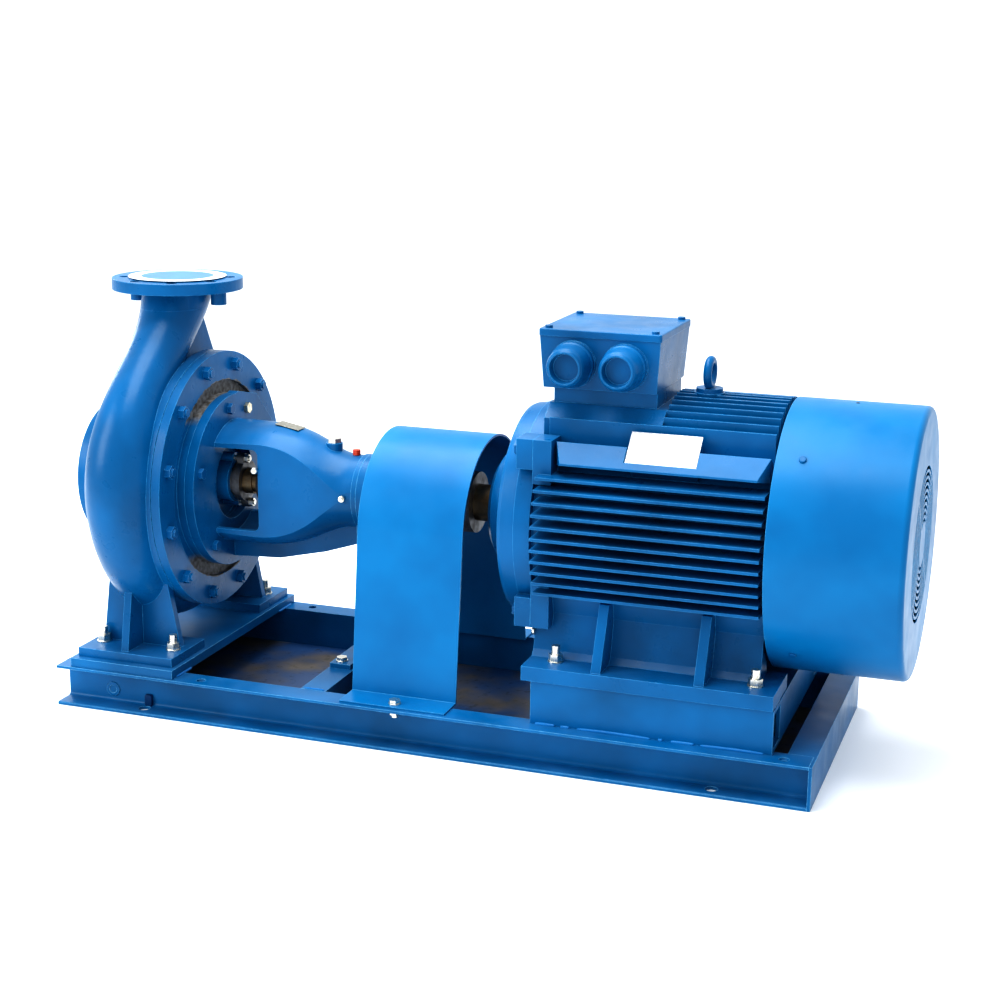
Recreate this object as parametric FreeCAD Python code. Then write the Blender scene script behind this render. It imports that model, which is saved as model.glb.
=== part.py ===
import FreeCAD, Part
import math
import os
from FreeCAD import Vector

os.makedirs("parts", exist_ok=True)

# A single-stage end-suction centrifugal pump and its electric motor on one welded base.
# +X runs along the shaft from the pump to the motor, -Y is the side with the cable glands, +Z is up.
# The origin is on the floor at the middle of the foundation bolts. All sizes are in millimetres.

X_AXIS = Vector(1, 0, 0)
Y_AXIS = Vector(0, 1, 0)
Z_AXIS = Vector(0, 0, 1)
reach = 5.0

# Clearances
running_gap = 0.3
bolt_clearance = 0.8
seat_clearance = 0.2

# Base frame of outward-facing channels
base_length = 1160.0
base_width = 430.0
rail_height = 63.0
rail_flange = 40.0
rail_wall = 4.8
rail_root = 5.0
foundation_x = 882.0
foundation_y = 390.0
foundation_hole = 9.0
spare_hole = 7.0
spare_hole_x = (-341.0, 539.0)
spare_hole_y = 197.0
tray_thickness = 3.0
drain_x = -503.0
drain_z = 23.0
drain_radius = 12.0
drain_length = 30.0

# Places along the shaft, measured from the middle of the volute
volute_x = -469.0
suction_reach = 125.0
casing_face = 54.0
gasket_thickness = 1.0
cover_flange = 14.0
bracket_seat = 6.0
bracket_flange = 15.0
lantern_end = 161.0
lantern_wall = 15.0
shoulder_end = 150.0
shoulder_run = 82.0
taper_end = 300.0
taper_run = 48.0
housing_end = 313.0
foot_plate = 8.0
end_cover_flange = 12.0
pump_shaft_end = 422.0
shaft_end_gap = 4.0

# Pump heights and feet
pump_plate_thickness = 14.0
pump_plate_half = 87.0
pump_plate_width = 424.0
shaft_height = 250.0
discharge_height = 315.0
pump_foot_half = 80.0
pump_foot_width = 400.0
pump_foot_inner = 95.0
pump_foot_thickness = 14.0
pump_bolt_x = 60.0
pump_bolt_y = 157.5
pump_bolt = 12.0
foot_wall_y = 140.0
foot_wall = 12.0

# Volute casing
casing_wall = 9.0
scroll_x = -4.0
scroll_start = 20.0
scroll_end = 278.0
scroll_centre_start = 160.0
scroll_centre_end = 183.0
scroll_tube_start = 36.0
scroll_tube_end = 54.0
neck_waist = 42.0
neck_throat = 44.0
neck_flare = 50.0
neck_radius = 53.0
nozzle_split = 66.0
neck_split = 268.0
opening_radius = 165.0
casing_flange_radius = 200.0
casing_flange = 16.0
cover_bolts = 12
cover_bolt_circle = 180.0
cover_bolt = 12.0
cover_boss = 14.0
cover_boss_length = 16.0
front_wall_x = -33.0
suction_bore = 50.0
suction_flange_radius = 110.0
suction_flange = 20.0
suction_bolt_circle = 90.0
discharge_bore = 40.0
discharge_flange_radius = 100.0
discharge_flange = 19.0
discharge_bolt_circle = 80.0
pipe_bolts = 8
pipe_bolt_hole = 9.0
raised_face = 2.0
gauge_boss = 12.0
gauge_boss_x = 70.0
gauge_boss_drop = 22.0
rib_thickness = 12.0

# Wet end
impeller_radius = 157.0
impeller_outlet = 16.0
impeller_eye = 52.0
shroud = 5.0
vane_count = 6
vane_thickness = 5.0
vane_sweep = 82.0
back_plate_x = 9.0
hub_end = 30.0
hub_radius = 24.0
nut_length = 18.0
wear_ring_wall = 9.5
wear_ring_length = 14.0
wear_gap = 0.4

# Stuffing box
sleeve_radius = 20.0
shaft_sleeve_bore = 17.0
box_bore = 27.0
box_radius = 35.0
box_start = 48.0
box_end = 95.0
packing_width = 8.0
packing_rings = 4
lantern_width = 9.0
gland_flange = 12.0
gland_gap = 6.0
gland_radius = 32.0
gland_stud_circle = 37.0
gland_stud = 8.0
gland_stud_angle = 80.0
sleeve_end = 128.0

# Bearing bracket
bracket_flange_radius = 135.0
lug_outline = ((0.0, 132.0), (18.0, 137.0), (82.0, 122.5), (133.0, 72.0), (134.0, 10.0), (0.0, 0.0))
jack_y = 44.0
jack_rise = 106.0
bracket_bolt_circle = 115.0
bracket_bolts = 5
bracket_bolt_first = 28.0
bracket_bolt_step = 68.0
bracket_bolt = 10.0
bracket_bore = 62.0
shoulder_radius = 95.5
housing_radius = 56.0
cheek_start_y = 65.0
cheek_end_y = 55.0
bracket_wall = 12.0
window_half = 64.0
window_corner = 10.0
keel_depth = 119.0
keel_low_x = 170.0
keel_mid_x = 248.0
keel_mid_depth = 101.0
keel_end_depth = 84.0
keel_thickness = 12.0
end_cover_radius = 58.0
cover_recess_outer = 155.0
cover_recess_depth = 7.0
cover_spigot = 14.0
foot_tongue_half = 35.0
foot_leg_half = 18.0
foot_tongue_bottom = 201.0
foot_base_half = 75.0
foot_bolt_y = 60.0
foot_bolt = 10.0
cross_front = 282.0
cross_back = 322.0

# Pump shaft and bearings
thread_radius = 11.0
impeller_bore = 14.0
pump_journal = 17.5
pump_collar = 22.0
pump_seal_radius = 17.0
pump_coupling_radius = 16.0
pump_bearing_radius = 40.0
pump_bearing_width = 21.0
pump_balls = 8
deflector_radius = 32.0
deflector_width = 8.0
deflector_x = 142.0

# Coupling
coupling_radius = 65.0
coupling_hub = 46.0
coupling_hub_length = 42.0
coupling_disc = 16.0
jaw_length = 20.0
jaw_inner = 41.0
jaw_count = 4
jaw_angle = 27.0
spider_inner = 31.0
spider_ring = 38.0
key_width = 10.0
key_rise = 3.0

# Coupling guard
guard_start = 359.0
guard_end = 522.0
guard_arch = 137.0
guard_centre_z = 294.0
guard_foot_y = 161.0
guard_lip_y = 208.0
guard_sheet = 3.0
guard_bolt_x = 440.0
guard_bolt_y = 193.0
guard_bolt = 10.0

# Motor heights, feet and risers
motor_shaft_height = 200.0
motor_shim = 1.0
riser_start = 645.0
riser_end = 990.0
riser_face_y = 190.0
riser_flange = 50.0
riser_wall = 6.0
motor_bolt_start = 672.0
motor_bolt_pitch = 285.0
motor_bolt_y = 159.0
motor_bolt = 12.0
foot_stud_rise = 24.0
motor_foot_start = 632.0
motor_foot_end = 989.0
motor_foot_y = 195.0
motor_foot_inner = 92.0
motor_foot_thickness = 21.0
shim_half = 32.0

# Motor housing
motor_extension = 110.0
shield_hub_length = 77.0
bell_front = 578.0
bell_radius = 157.0
bell_edge = 7.0
bell_wall = 10.0
shield_flange = 17.0
housing_length = 336.0
barrel_radius = 150.0
barrel_bore = 140.0
fin_tip_radius = 192.0
fin_thickness = 4.0
side_fins = 11
side_fin_bottom = -78.0
side_fin_pitch = 16.4
fin_start = 10.0
fin_end_gap = 6.0
top_fins = 15
top_fin_pitch = 14.8
ledge_rise = 105.0
ledge_tip_y = 161.0
ledge_top_y = 135.0
ledge_top_rise = 137.0
ledge_start = 660.0
ledge_tip_start = 673.0
saddle_before = 5.0
saddle_after = 15.0
saddle_top_y = 74.0
saddle_rise = 176.0
saddle_low_y = 100.0
saddle_low_rise = 158.0
ear_inner_y = 108.0
ear_outer_y = 150.0
ear_low = 93.0
ear_high = 136.0
ear_length = 27.0
shield_ear = 24.0
shield_radius = 162.0
shield_bolt = 12.0
shield_hub_radius = 80.0
shield_spigot = 10.0
end_shield_radius = 156.0
cowl_lug_half = 14.0
cowl_lug_length = 42.0
rib_x = (100.0, 246.0)
rib_width = 14.0
name_plate_x = 812.0
name_plate_length = 100.0
name_plate_width = 52.0
name_pad_reach = 187.0
plate_thickness = 1.0

# Motor inside
motor_shaft_radius = 27.5
motor_journal = 30.0
motor_bearing_radius = 65.0
motor_bearing_width = 31.0
motor_balls = 8
rotor_radius = 94.0
stator_gap = 0.8
stator_start = 680.0
stator_length = 230.0
winding_length = 34.0
winding_inner = 102.0
winding_outer = 130.0
fan_seat_radius = 24.0
fan_radius = 160.0
fan_hub_radius = 42.0
fan_start = 1022.0
fan_width = 46.0
fan_blades = 7
fan_blade = 4.0
fan_back = 4.0

# Fan cowl
cowl_start = 966.0
cowl_end = 1151.0
cowl_radius = 192.0
cowl_sheet = 2.5
cowl_edge = 8.0
grille_inner = 30.0
grille_outer = 112.0
grille_rings = 9
grille_slots = 4
grille_web = 4.0
cowl_screw = 6.0

# Terminal box
box_x0 = 617.0
box_x1 = 791.0
box_half_y = 85.0
box_bottom = 198.0
box_top = 272.0
box_draft = 5.0
box_wall = 5.0
lid_thickness = 10.0
lid_overhang = 1.5
neck_x0 = 635.0
neck_x1 = 785.0
neck_half_y = 70.0
neck_bottom = 140.0
gland_x = (666.0, 741.0)
gland_z = 234.0
gland_base_radius = 32.0
gland_front_radius = 25.0
gland_mouth_radius = 21.0
gland_length = 42.0
gland_pad = 2.0
lid_screw = 6.0
lid_screw_inset = 10.0
eye_x = 843.0
eye_collar_z = 193.0
eye_ring = 18.0
eye_tube = 6.0
eye_collar = 19.0

# Levels and places worked out from the sizes above
plate_top = rail_height + pump_plate_thickness
shaft_z = plate_top + shaft_height
mount_z = shaft_z - motor_shaft_height
riser_height = mount_z - motor_shim - rail_height
cover_back = casing_face + gasket_thickness
cover_front = cover_back + cover_flange
bracket_back = cover_front + bracket_seat
bracket_front = bracket_back + bracket_flange
bearing_stop = lantern_end + lantern_wall
end_cover_back = housing_end + foot_plate
end_cover_front = end_cover_back + end_cover_flange
cover_spigot_length = 3.0
outer_bearing_end = end_cover_back - cover_spigot_length
outer_bearing_start = outer_bearing_end - pump_bearing_width
motor_tip = pump_shaft_end + shaft_end_gap
motor_shoulder = motor_tip + motor_extension
shield_back = motor_shoulder + shield_hub_length
housing_start = shield_back + shield_flange
housing_stop = housing_start + housing_length
web_x = base_length / 2 - rail_flange
web_y = base_width / 2 - rail_flange


# Shape helpers
def at(x):
    """Place along the shaft, measured from the middle of the volute, in the part's frame."""
    return volute_x + x


def box(x0, x1, y0, y1, z0, z1):
    return Part.makeBox(x1 - x0, y1 - y0, z1 - z0, Vector(x0, y0, z0))


def rod_x(radius, x0, x1, y=0.0, z=0.0):
    return Part.makeCylinder(radius, x1 - x0, Vector(x0, y, shaft_z + z), X_AXIS)


def rod_y(radius, y0, y1, x, z):
    return Part.makeCylinder(radius, y1 - y0, Vector(x, y0, z), Y_AXIS)


def rod_z(radius, z0, z1, x, y):
    return Part.makeCylinder(radius, z1 - z0, Vector(x, y, z0), Z_AXIS)


def ring_x(outer, inner, x0, x1, y=0.0, z=0.0):
    return rod_x(outer, x0, x1, y, z).cut(rod_x(inner, x0 - reach, x1 + reach, y, z))


def prism(points, direction):
    return Part.Face(Part.makePolygon(points + points[:1])).extrude(direction)


def plate_yz(outline, x0, x1):
    """Plate between two places along the shaft, from (y, height over the shaft) points."""
    return prism([Vector(x0, y, shaft_z + z) for y, z in outline], Vector(x1 - x0, 0, 0))


def turned(profile):
    """Solid of revolution about the shaft, from (place along the shaft, radius) points."""
    points = [Vector(at(x), 0, shaft_z + r) for x, r in profile]
    face = Part.Face(Part.makePolygon(points + points[:1]))
    return face.revolve(Vector(0, 0, shaft_z), X_AXIS, 360)


def joined(shapes):
    whole = shapes[0].multiFuse(shapes[1:]) if len(shapes) > 1 else shapes[0]
    return whole.removeSplitter()


def placed(shape, base, axis):
    """Shape that was made up from the origin along +Z, stood at a base point along an axis."""
    moved = shape.copy()
    moved.Placement = FreeCAD.Placement(base, FreeCAD.Rotation(Z_AXIS, axis))
    return moved


def hexagon(across, height, bottom=0.0):
    corner = across / math.sqrt(3)
    angles = [math.radians(60 * k) for k in range(6)]
    points = [Vector(corner * math.cos(a), corner * math.sin(a), bottom) for a in angles]
    return prism(points, Vector(0, 0, height))


def up_rod(radius, z0, z1):
    return Part.makeCylinder(radius, z1 - z0, Vector(0, 0, z0))


def hex_bolt(size, depth):
    """Bolt with its head standing on z=0 and its shank going down."""
    return hexagon(1.5 * size, 0.65 * size).fuse(up_rod(size / 2, -depth, reach / 10)).removeSplitter()


def hex_nut(size, bottom=0.0):
    return hexagon(1.5 * size, 0.8 * size, bottom).cut(up_rod(size / 2, bottom - reach, bottom + size))


def washer(size, bottom=0.0):
    thickness = 0.15 * size
    ring = up_rod(0.94 * size, bottom, bottom + thickness)
    return ring.cut(up_rod(size / 2, bottom - reach, bottom + reach))


def bolt_and_nut(size, grip, base, axis):
    """Bolt with washer above the grip and a nut below it, as separate solids."""
    lift = 0.15 * size
    bolt = hex_bolt(size, grip + lift + 1.1 * size)
    bolt.translate(Vector(0, 0, lift))
    pieces = [bolt, washer(size), hex_nut(size, -grip - 0.8 * size)]
    return [placed(piece, base, axis) for piece in pieces]


def through_stud(size, grip, rise, base):
    """Upright stud with a washer and a nut on the grip and a nut under it, as separate solids."""
    nut_height = 0.8 * size
    stud = up_rod(size / 2, -grip - 1.1 * nut_height, rise)
    pieces = [stud, washer(size), hex_nut(size, 0.15 * size), hex_nut(size, -grip - nut_height)]
    return [placed(piece, base, Z_AXIS) for piece in pieces]


def stud_and_nut(size, depth, base, axis):
    """Stud screwed in below z=0 with its nut on z=0, as separate solids."""
    stud = up_rod(size / 2, -depth, 1.05 * size)
    return [placed(piece, base, axis) for piece in (stud, hex_nut(size))]


def slotted_screw(size, depth, base, axis):
    """Cheese-head screw with its head on z=0 and a slot across it."""
    head = up_rod(0.9 * size, 0, 0.6 * size).fuse(up_rod(size / 2, -depth, reach / 10))
    slot = box(-size, size, -size / 10, size / 10, size / 3, size)
    return placed(head.cut(slot).removeSplitter(), base, axis)


def around(count, radius, start=0.0):
    """(y, height over the shaft) of points evenly spaced on a circle about the shaft."""
    angles = [math.radians(start + 360.0 * k / count) for k in range(count)]
    return [(radius * math.cos(a), radius * math.sin(a)) for a in angles]


def sector(inner, outer, middle, width, x0, x1):
    """Ring sector about the shaft, its middle angle measured from +Y towards +Z."""
    a0 = math.radians(middle - width / 2)
    a1 = math.radians(middle)
    a2 = math.radians(middle + width / 2)

    def spot(radius, angle):
        return Vector(x0, radius * math.cos(angle), shaft_z + radius * math.sin(angle))

    edges = [Part.Arc(spot(outer, a0), spot(outer, a1), spot(outer, a2)).toShape(),
             Part.makeLine(spot(outer, a2), spot(inner, a2)),
             Part.Arc(spot(inner, a2), spot(inner, a1), spot(inner, a0)).toShape(),
             Part.makeLine(spot(inner, a0), spot(outer, a0))]
    return Part.Face(Part.Wire(edges)).extrude(Vector(x1 - x0, 0, 0))


def save(name, shapes):
    shape = shapes if isinstance(shapes, Part.Shape) else Part.makeCompound(shapes)
    if not shape.isValid() or not shape.Solids:
        raise ValueError(name + " is not a sound solid")
    shape.exportStep("parts/" + name + ".step")


# Base frame
def channel(length, height, flange, wall, root):
    """Channel along +X with its back on y=0, its flanges towards -Y and its foot on z=0."""
    outer = box(0, length, -flange, 0, 0, height)
    section = outer.cut(box(-reach, length + reach, -flange - reach, -wall, wall, height - wall))
    roots = [e for e in section.Edges
             if abs(e.CenterOfMass.y + wall) < 0.01 and abs(e.Length - length) < 0.01]
    return section.makeFillet(root, roots)


def rail(span, edge, angle):
    """Rail with mitred ends whose flange tips lie at the given distance from the middle."""
    shape = channel(span, rail_height, rail_flange, rail_wall, rail_root)
    shape.translate(Vector(-span / 2, rail_flange - edge, 0))
    inner = span / 2 - rail_flange
    corners = [Vector(-span / 2, -edge, 0), Vector(span / 2, -edge, 0),
               Vector(inner, rail_flange - edge, 0), Vector(-inner, rail_flange - edge, 0)]
    shape = shape.common(prism(corners, Vector(0, 0, rail_height)))
    shape.rotate(Vector(0, 0, 0), Z_AXIS, angle)
    return shape


low_holes = [rod_z(foundation_hole, -reach, rail_wall + rail_root, sx * foundation_x / 2, sy * foundation_y / 2)
             for sx in (-1, 1) for sy in (-1, 1)]
high_holes = [rod_z(spare_hole, rail_height - rail_wall - reach, rail_height + reach, x, sy * spare_hole_y)
              for x in spare_hole_x for sy in (-1, 1)]
guard_holes = [rod_z(guard_bolt / 2 + bolt_clearance, rail_height - rail_wall - reach, rail_height + reach,
                     at(guard_bolt_x), sy * guard_bolt_y) for sy in (-1, 1)]
drain_hole = rod_y(drain_radius - rail_wall, -base_width, 0, drain_x, drain_z)
save("side_rails", [rail(base_length, base_width / 2, turn).cut(low_holes + high_holes + guard_holes + [drain_hole])
                    for turn in (0, 180)])
save("end_rails", [rail(base_width, base_length / 2, turn) for turn in (90, 270)])
save("drip_tray", box(-web_x, web_x, -web_y, web_y, 0, tray_thickness))

drain_tube = rod_y(drain_radius, -web_y - rail_wall - drain_length, -web_y - rail_wall, drain_x, drain_z)
drain_plug = drain_tube.fuse(placed(hexagon(drain_radius * 1.2, drain_length / 5),
                                    Vector(drain_x, -web_y - rail_wall - drain_length, drain_z), -Y_AXIS))
save("drain_plug", drain_plug.removeSplitter())

cross = channel(2 * web_y, rail_height - tray_thickness, cross_back - cross_front, rail_wall, rail_root)
cross.rotate(Vector(0, 0, 0), Z_AXIS, 270)
cross.translate(Vector(at(cross_back), web_y, tray_thickness))
foot_bolt_x = at((cross_front + housing_end) / 2)
cross_holes = [rod_z(foot_bolt / 2 + bolt_clearance, rail_height - rail_wall - reach, rail_height + reach,
                     foot_bolt_x, sy * foot_bolt_y) for sy in (-1, 1)]
save("cross_member", cross.cut(cross_holes))

pump_holes = [rod_z(pump_bolt / 2 + bolt_clearance, rail_height - reach, plate_top + 4 * reach,
                    at(sx * pump_bolt_x), sy * pump_bolt_y) for sx in (-1, 1) for sy in (-1, 1)]
plate = box(at(-pump_plate_half), at(pump_plate_half), -pump_plate_width / 2, pump_plate_width / 2,
            rail_height, plate_top)
save("pump_plate", plate.cut(pump_holes))

# Motor risers
motor_holes = [rod_z(motor_bolt / 2 + bolt_clearance, mount_z - riser_wall - 2 * reach,
                     mount_z + motor_foot_thickness + reach, at(x), sy * motor_bolt_y)
               for x in (motor_bolt_start, motor_bolt_start + motor_bolt_pitch) for sy in (-1, 1)]


def riser(side):
    """Channel under one pair of motor feet, its back turned outwards."""
    shape = channel(riser_end - riser_start, riser_height, riser_flange, riser_wall, rail_root)
    shape.rotate(Vector(0, 0, 0), Z_AXIS, 0 if side > 0 else 180)
    shift = at(riser_start) if side > 0 else at(riser_end)
    shape.translate(Vector(shift, side * riser_face_y, rail_height))
    return shape.cut(motor_holes)


save("motor_risers", [riser(-1), riser(1)])
tie = channel(2 * (riser_face_y - riser_flange), riser_height, riser_flange, riser_wall, rail_root)
tie.rotate(Vector(0, 0, 0), Z_AXIS, 270)
tie.translate(Vector(at(riser_end), riser_face_y - riser_flange, rail_height))
save("riser_tie", tie)
shims = [box(at(x) - shim_half, at(x) + shim_half, sy * motor_bolt_y - shim_half / 2,
             sy * motor_bolt_y + shim_half / 2, mount_z - motor_shim, mount_z).cut(motor_holes)
         for x in (motor_bolt_start, motor_bolt_start + motor_bolt_pitch) for sy in (-1, 1)]
save("motor_shims", shims)


# Volute casing
def scroll_spot(angle):
    """Centre, tube radius and travelling direction of the scroll at an angle past the top."""
    share = (angle - scroll_start) / (scroll_end - scroll_start)
    centre = scroll_centre_start + share * (scroll_centre_end - scroll_centre_start)
    tube = scroll_tube_start + share * (scroll_tube_end - scroll_tube_start)
    a = math.radians(angle)
    spot = Vector(at(scroll_x), centre * math.sin(a), shaft_z + centre * math.cos(a))
    return spot, tube, Vector(0, math.cos(a), -math.sin(a))


def flow_passage(wall):
    """Scroll and swan neck as one loft of circles, smaller by the wall."""
    steps = 9
    angles = [scroll_start + k * (scroll_end - scroll_start) / steps for k in range(steps + 1)]
    stations = [scroll_spot(angle) for angle in angles]
    neck_path = [(-141, 137, 52, neck_throat), (-92, 184, 45, neck_waist), (-44, 228, 49, neck_throat),
                 (-12, 268, 66, neck_flare)]
    for y, z, lean, tube in neck_path:
        a = math.radians(lean)
        spot = Vector(at(scroll_x / 2), y, shaft_z + z)
        stations.append((spot, tube, Vector(0, math.cos(a), math.sin(a))))
    top = discharge_height - discharge_flange
    stations.append((Vector(at(0), 0, shaft_z + top), neck_radius, Z_AXIS))
    circles = [Part.Wire(Part.makeCircle(tube - wall, spot, way)) for spot, tube, way in stations]
    return Part.makeLoft(circles, True, False)


def pump_foot(side):
    """Foot pad with a cross of two walls that run up into the scroll."""
    pad = box(at(-pump_foot_half), at(pump_foot_half), min(side * pump_foot_inner, side * pump_foot_width / 2),
              max(side * pump_foot_inner, side * pump_foot_width / 2), plate_top,
              plate_top + pump_foot_thickness)
    pad_top = plate_top + pump_foot_thickness - shaft_z
    y = side * foot_wall_y
    broad = [Vector(at(-66), y - foot_wall / 2, shaft_z + pad_top), Vector(at(66), y - foot_wall / 2, shaft_z + pad_top),
             Vector(at(42), y - foot_wall / 2, shaft_z - 110), Vector(at(-50), y - foot_wall / 2, shaft_z - 110)]
    wall = prism(broad, Vector(0, foot_wall, 0))
    web = plate_yz([(side * 192, pad_top), (side * 165, -90), (side * 120, -100), (side * 100, pad_top)],
                   at(scroll_x - foot_wall / 2), at(scroll_x + foot_wall / 2))
    return [pad, wall, web]


shell = turned([(-suction_reach, 0), (-suction_reach, suction_flange_radius),
                (suction_flange - suction_reach, suction_flange_radius), (suction_flange - suction_reach, 66),
                (-74, 68), (-52, 104), (-44, 150), (-44, 176), (casing_face - casing_flange, 176),
                (casing_face - casing_flange, casing_flange_radius), (casing_face, casing_flange_radius),
                (casing_face, 0)])
discharge = rod_z(discharge_flange_radius, shaft_z + discharge_height - discharge_flange,
                  shaft_z + discharge_height - raised_face, at(0), 0)
face_ring = rod_z(discharge_bolt_circle - 2 * pipe_bolt_hole + 7, shaft_z + discharge_height - discharge_flange,
                  shaft_z + discharge_height, at(0), 0)
bosses = [rod_x(cover_boss, at(casing_face - casing_flange - cover_boss_length), at(casing_face), y, z)
          for y, z in around(cover_bolts, cover_bolt_circle, 15)]
gauge = [rod_z(gauge_boss, shaft_z + discharge_height - discharge_flange - gauge_boss_drop,
               shaft_z + discharge_height - discharge_flange, at(sx * gauge_boss_x), 0) for sx in (-1, 1)]
neck_rib = plate_yz([(30, 282), (66, 258), (112, 172), (70, 130), (0, 160)],
                    at(scroll_x - rib_thickness / 2), at(scroll_x + rib_thickness / 2))
outside = joined([flow_passage(0), shell, discharge, face_ring, neck_rib] + bosses + gauge
                 + pump_foot(-1) + pump_foot(1))

wear_seat = impeller_eye + shroud + wear_gap + wear_ring_wall
wear_start = front_wall_x - wear_ring_length
chamber = turned([(-suction_reach - reach, 0), (-suction_reach - reach, suction_bore), (wear_start, suction_bore),
                  (wear_start, wear_seat), (front_wall_x, wear_seat), (front_wall_x, opening_radius),
                  (casing_face + reach, opening_radius), (casing_face + reach, 0)])
throat_top = shaft_z + discharge_height
throat = rod_z(discharge_bore, throat_top - 3 * discharge_flange, throat_top + reach, at(0), 0)
flange_holes = []
for k in range(pipe_bolts):
    a = math.radians(180 / pipe_bolts + 360 * k / pipe_bolts)
    flange_holes.append(rod_z(pipe_bolt_hole, throat_top - discharge_flange - 3, throat_top + reach,
                              at(discharge_bolt_circle * math.cos(a)), discharge_bolt_circle * math.sin(a)))
for y, z in around(pipe_bolts, suction_bolt_circle, 180 / pipe_bolts):
    flange_holes.append(rod_x(pipe_bolt_hole, at(-suction_reach - reach), at(suction_flange - suction_reach + 3), y, z))
stud_depth = 13.0
stud_holes = [rod_x(cover_bolt / 2, at(casing_face - stud_depth), at(casing_face + reach), y, z)
              for y, z in around(cover_bolts, cover_bolt_circle, 15)]
inside = flow_passage(casing_wall).multiFuse([chamber, throat])
casing = outside.cut(inside).cut(flange_holes + stud_holes + pump_holes)
casting = max(casing.Solids, key=lambda solid: solid.Volume)
nozzle_reach = suction_flange_radius + reach
front = box(at(-suction_reach - reach), at(-nozzle_split), -nozzle_reach, nozzle_reach,
            shaft_z - nozzle_reach, shaft_z + nozzle_reach)
nozzle = casting.common(front)
upper = box(at(-suction_reach), at(suction_reach), -suction_reach, suction_reach,
            shaft_z + neck_split, shaft_z + discharge_height + reach)


def quarters(piece, base, axis):
    """The piece in four along the diagonals of its bore, whose axis goes through the base point.

    Each quarter is simple enough for a collision hull that leaves the square inside the bore open.
    """
    corner = Part.makeBox(2 * nozzle_reach, 2 * nozzle_reach, 4 * nozzle_reach, Vector(0, 0, -2 * nozzle_reach))
    parts = []
    for k in range(4):
        wedge = placed(corner, base, axis)
        wedge.rotate(base, axis, 45 + 90 * k)
        parts += piece.common(wedge).Solids
    return parts


save("volute_casing", [casting.cut([front, upper])] + quarters(nozzle, Vector(at(0), 0, shaft_z), X_AXIS)
     + quarters(casting.common(upper), Vector(at(0), 0, throat_top), Z_AXIS))

eye_outer = impeller_eye + shroud
save("wear_ring", ring_x(wear_seat, eye_outer + wear_gap, at(wear_start), at(front_wall_x)))
gasket_outer = cover_bolt_circle - cover_bolt / 2 - bolt_clearance
save("casing_gasket", ring_x(gasket_outer, opening_radius, at(casing_face), at(cover_back)))

# Impeller with a closed pair of shrouds and backward-curved vanes
front_inner = [(wear_start + 2, impeller_eye), (-30, impeller_eye), (-20, impeller_eye + 14),
               (-11, impeller_eye + 38), (back_plate_x - impeller_outlet, impeller_radius)]
front_outer = [(back_plate_x - impeller_outlet - shroud, impeller_radius), (-11 - shroud, impeller_eye + 39),
               (-25, impeller_eye + 16), (front_wall_x + 2, eye_outer), (wear_start + 2, eye_outer)]
front_shroud = turned(front_inner + front_outer)
back_shroud = turned([(-10, impeller_bore), (-10, hub_radius - 2), (back_plate_x - 5, hub_radius + 4),
                      (back_plate_x, hub_radius + 22), (back_plate_x, impeller_radius),
                      (back_plate_x + shroud, impeller_radius), (back_plate_x + shroud, hub_radius + 6),
                      (hub_end, hub_radius), (hub_end, impeller_bore)])
passage = turned(front_inner[1:] + [(back_plate_x, impeller_radius), (back_plate_x, impeller_eye)])


def vane(turn):
    """Strip between two arcs from the eye to the rim, leaning back against the rotation."""
    def spot(radius, angle, side):
        a = math.radians(turn + angle)
        offset = side * vane_thickness / 2
        return Vector(at(-35), radius * math.cos(a) + offset * math.sin(a),
                      shaft_z + radius * math.sin(a) - offset * math.cos(a))

    middle = (impeller_eye + impeller_radius) / 2
    half = 0.42 * vane_sweep
    outer_end = impeller_radius + 2
    edges = [Part.Arc(spot(impeller_eye - 6, 0, 1), spot(middle, half, 1), spot(outer_end, vane_sweep, 1)).toShape(),
             Part.makeLine(spot(outer_end, vane_sweep, 1), spot(outer_end, vane_sweep, -1)),
             Part.Arc(spot(outer_end, vane_sweep, -1), spot(middle, half, -1), spot(impeller_eye - 6, 0, -1)).toShape(),
             Part.makeLine(spot(impeller_eye - 6, 0, -1), spot(impeller_eye - 6, 0, 1))]
    return Part.Face(Part.Wire(edges)).extrude(Vector(60, 0, 0)).common(passage)


vanes = [vane(k * 360 / vane_count) for k in range(vane_count)]
save("impeller", joined([back_shroud, front_shroud] + vanes))
nut = hexagon(2.6 * thread_radius, nut_length * 0.7).fuse(up_rod(1.3 * thread_radius, 0, nut_length))
nut = nut.cut(up_rod(thread_radius, -reach, nut_length * 0.75))
save("impeller_nut", placed(nut.removeSplitter(), Vector(at(-10), 0, shaft_z), -X_AXIS))

# Casing cover with its stuffing box
shaft_pass = sleeve_radius + 2 * running_gap
cover = turned([(cover_back - cover_spigot, shaft_pass), (cover_back - cover_spigot, opening_radius - seat_clearance),
                (cover_back, opening_radius - seat_clearance), (cover_back, casing_flange_radius),
                (cover_front, casing_flange_radius), (cover_front, cover_recess_outer),
                (cover_front - cover_recess_depth, cover_recess_outer),
                (cover_front - cover_recess_depth, bracket_flange_radius), (bracket_back, bracket_flange_radius),
                (bracket_back, bracket_bore), (cover_front, bracket_bore), (cover_front, box_radius),
                (box_end, box_radius), (box_end, box_bore), (box_start, box_bore), (box_start, shaft_pass)])
cover_holes = [rod_x(cover_bolt / 2 + bolt_clearance, at(cover_back - reach), at(cover_front + reach), y, z)
               for y, z in around(cover_bolts, cover_bolt_circle, 15)]
bracket_spots = []
for k in range(bracket_bolts):
    bracket_spots += around(1, bracket_bolt_circle, bracket_bolt_first + k * bracket_bolt_step)
bracket_stud_holes = [rod_x(bracket_bolt / 2, at(cover_back + 2), at(bracket_back + reach), y, z)
                      for y, z in bracket_spots]
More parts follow.
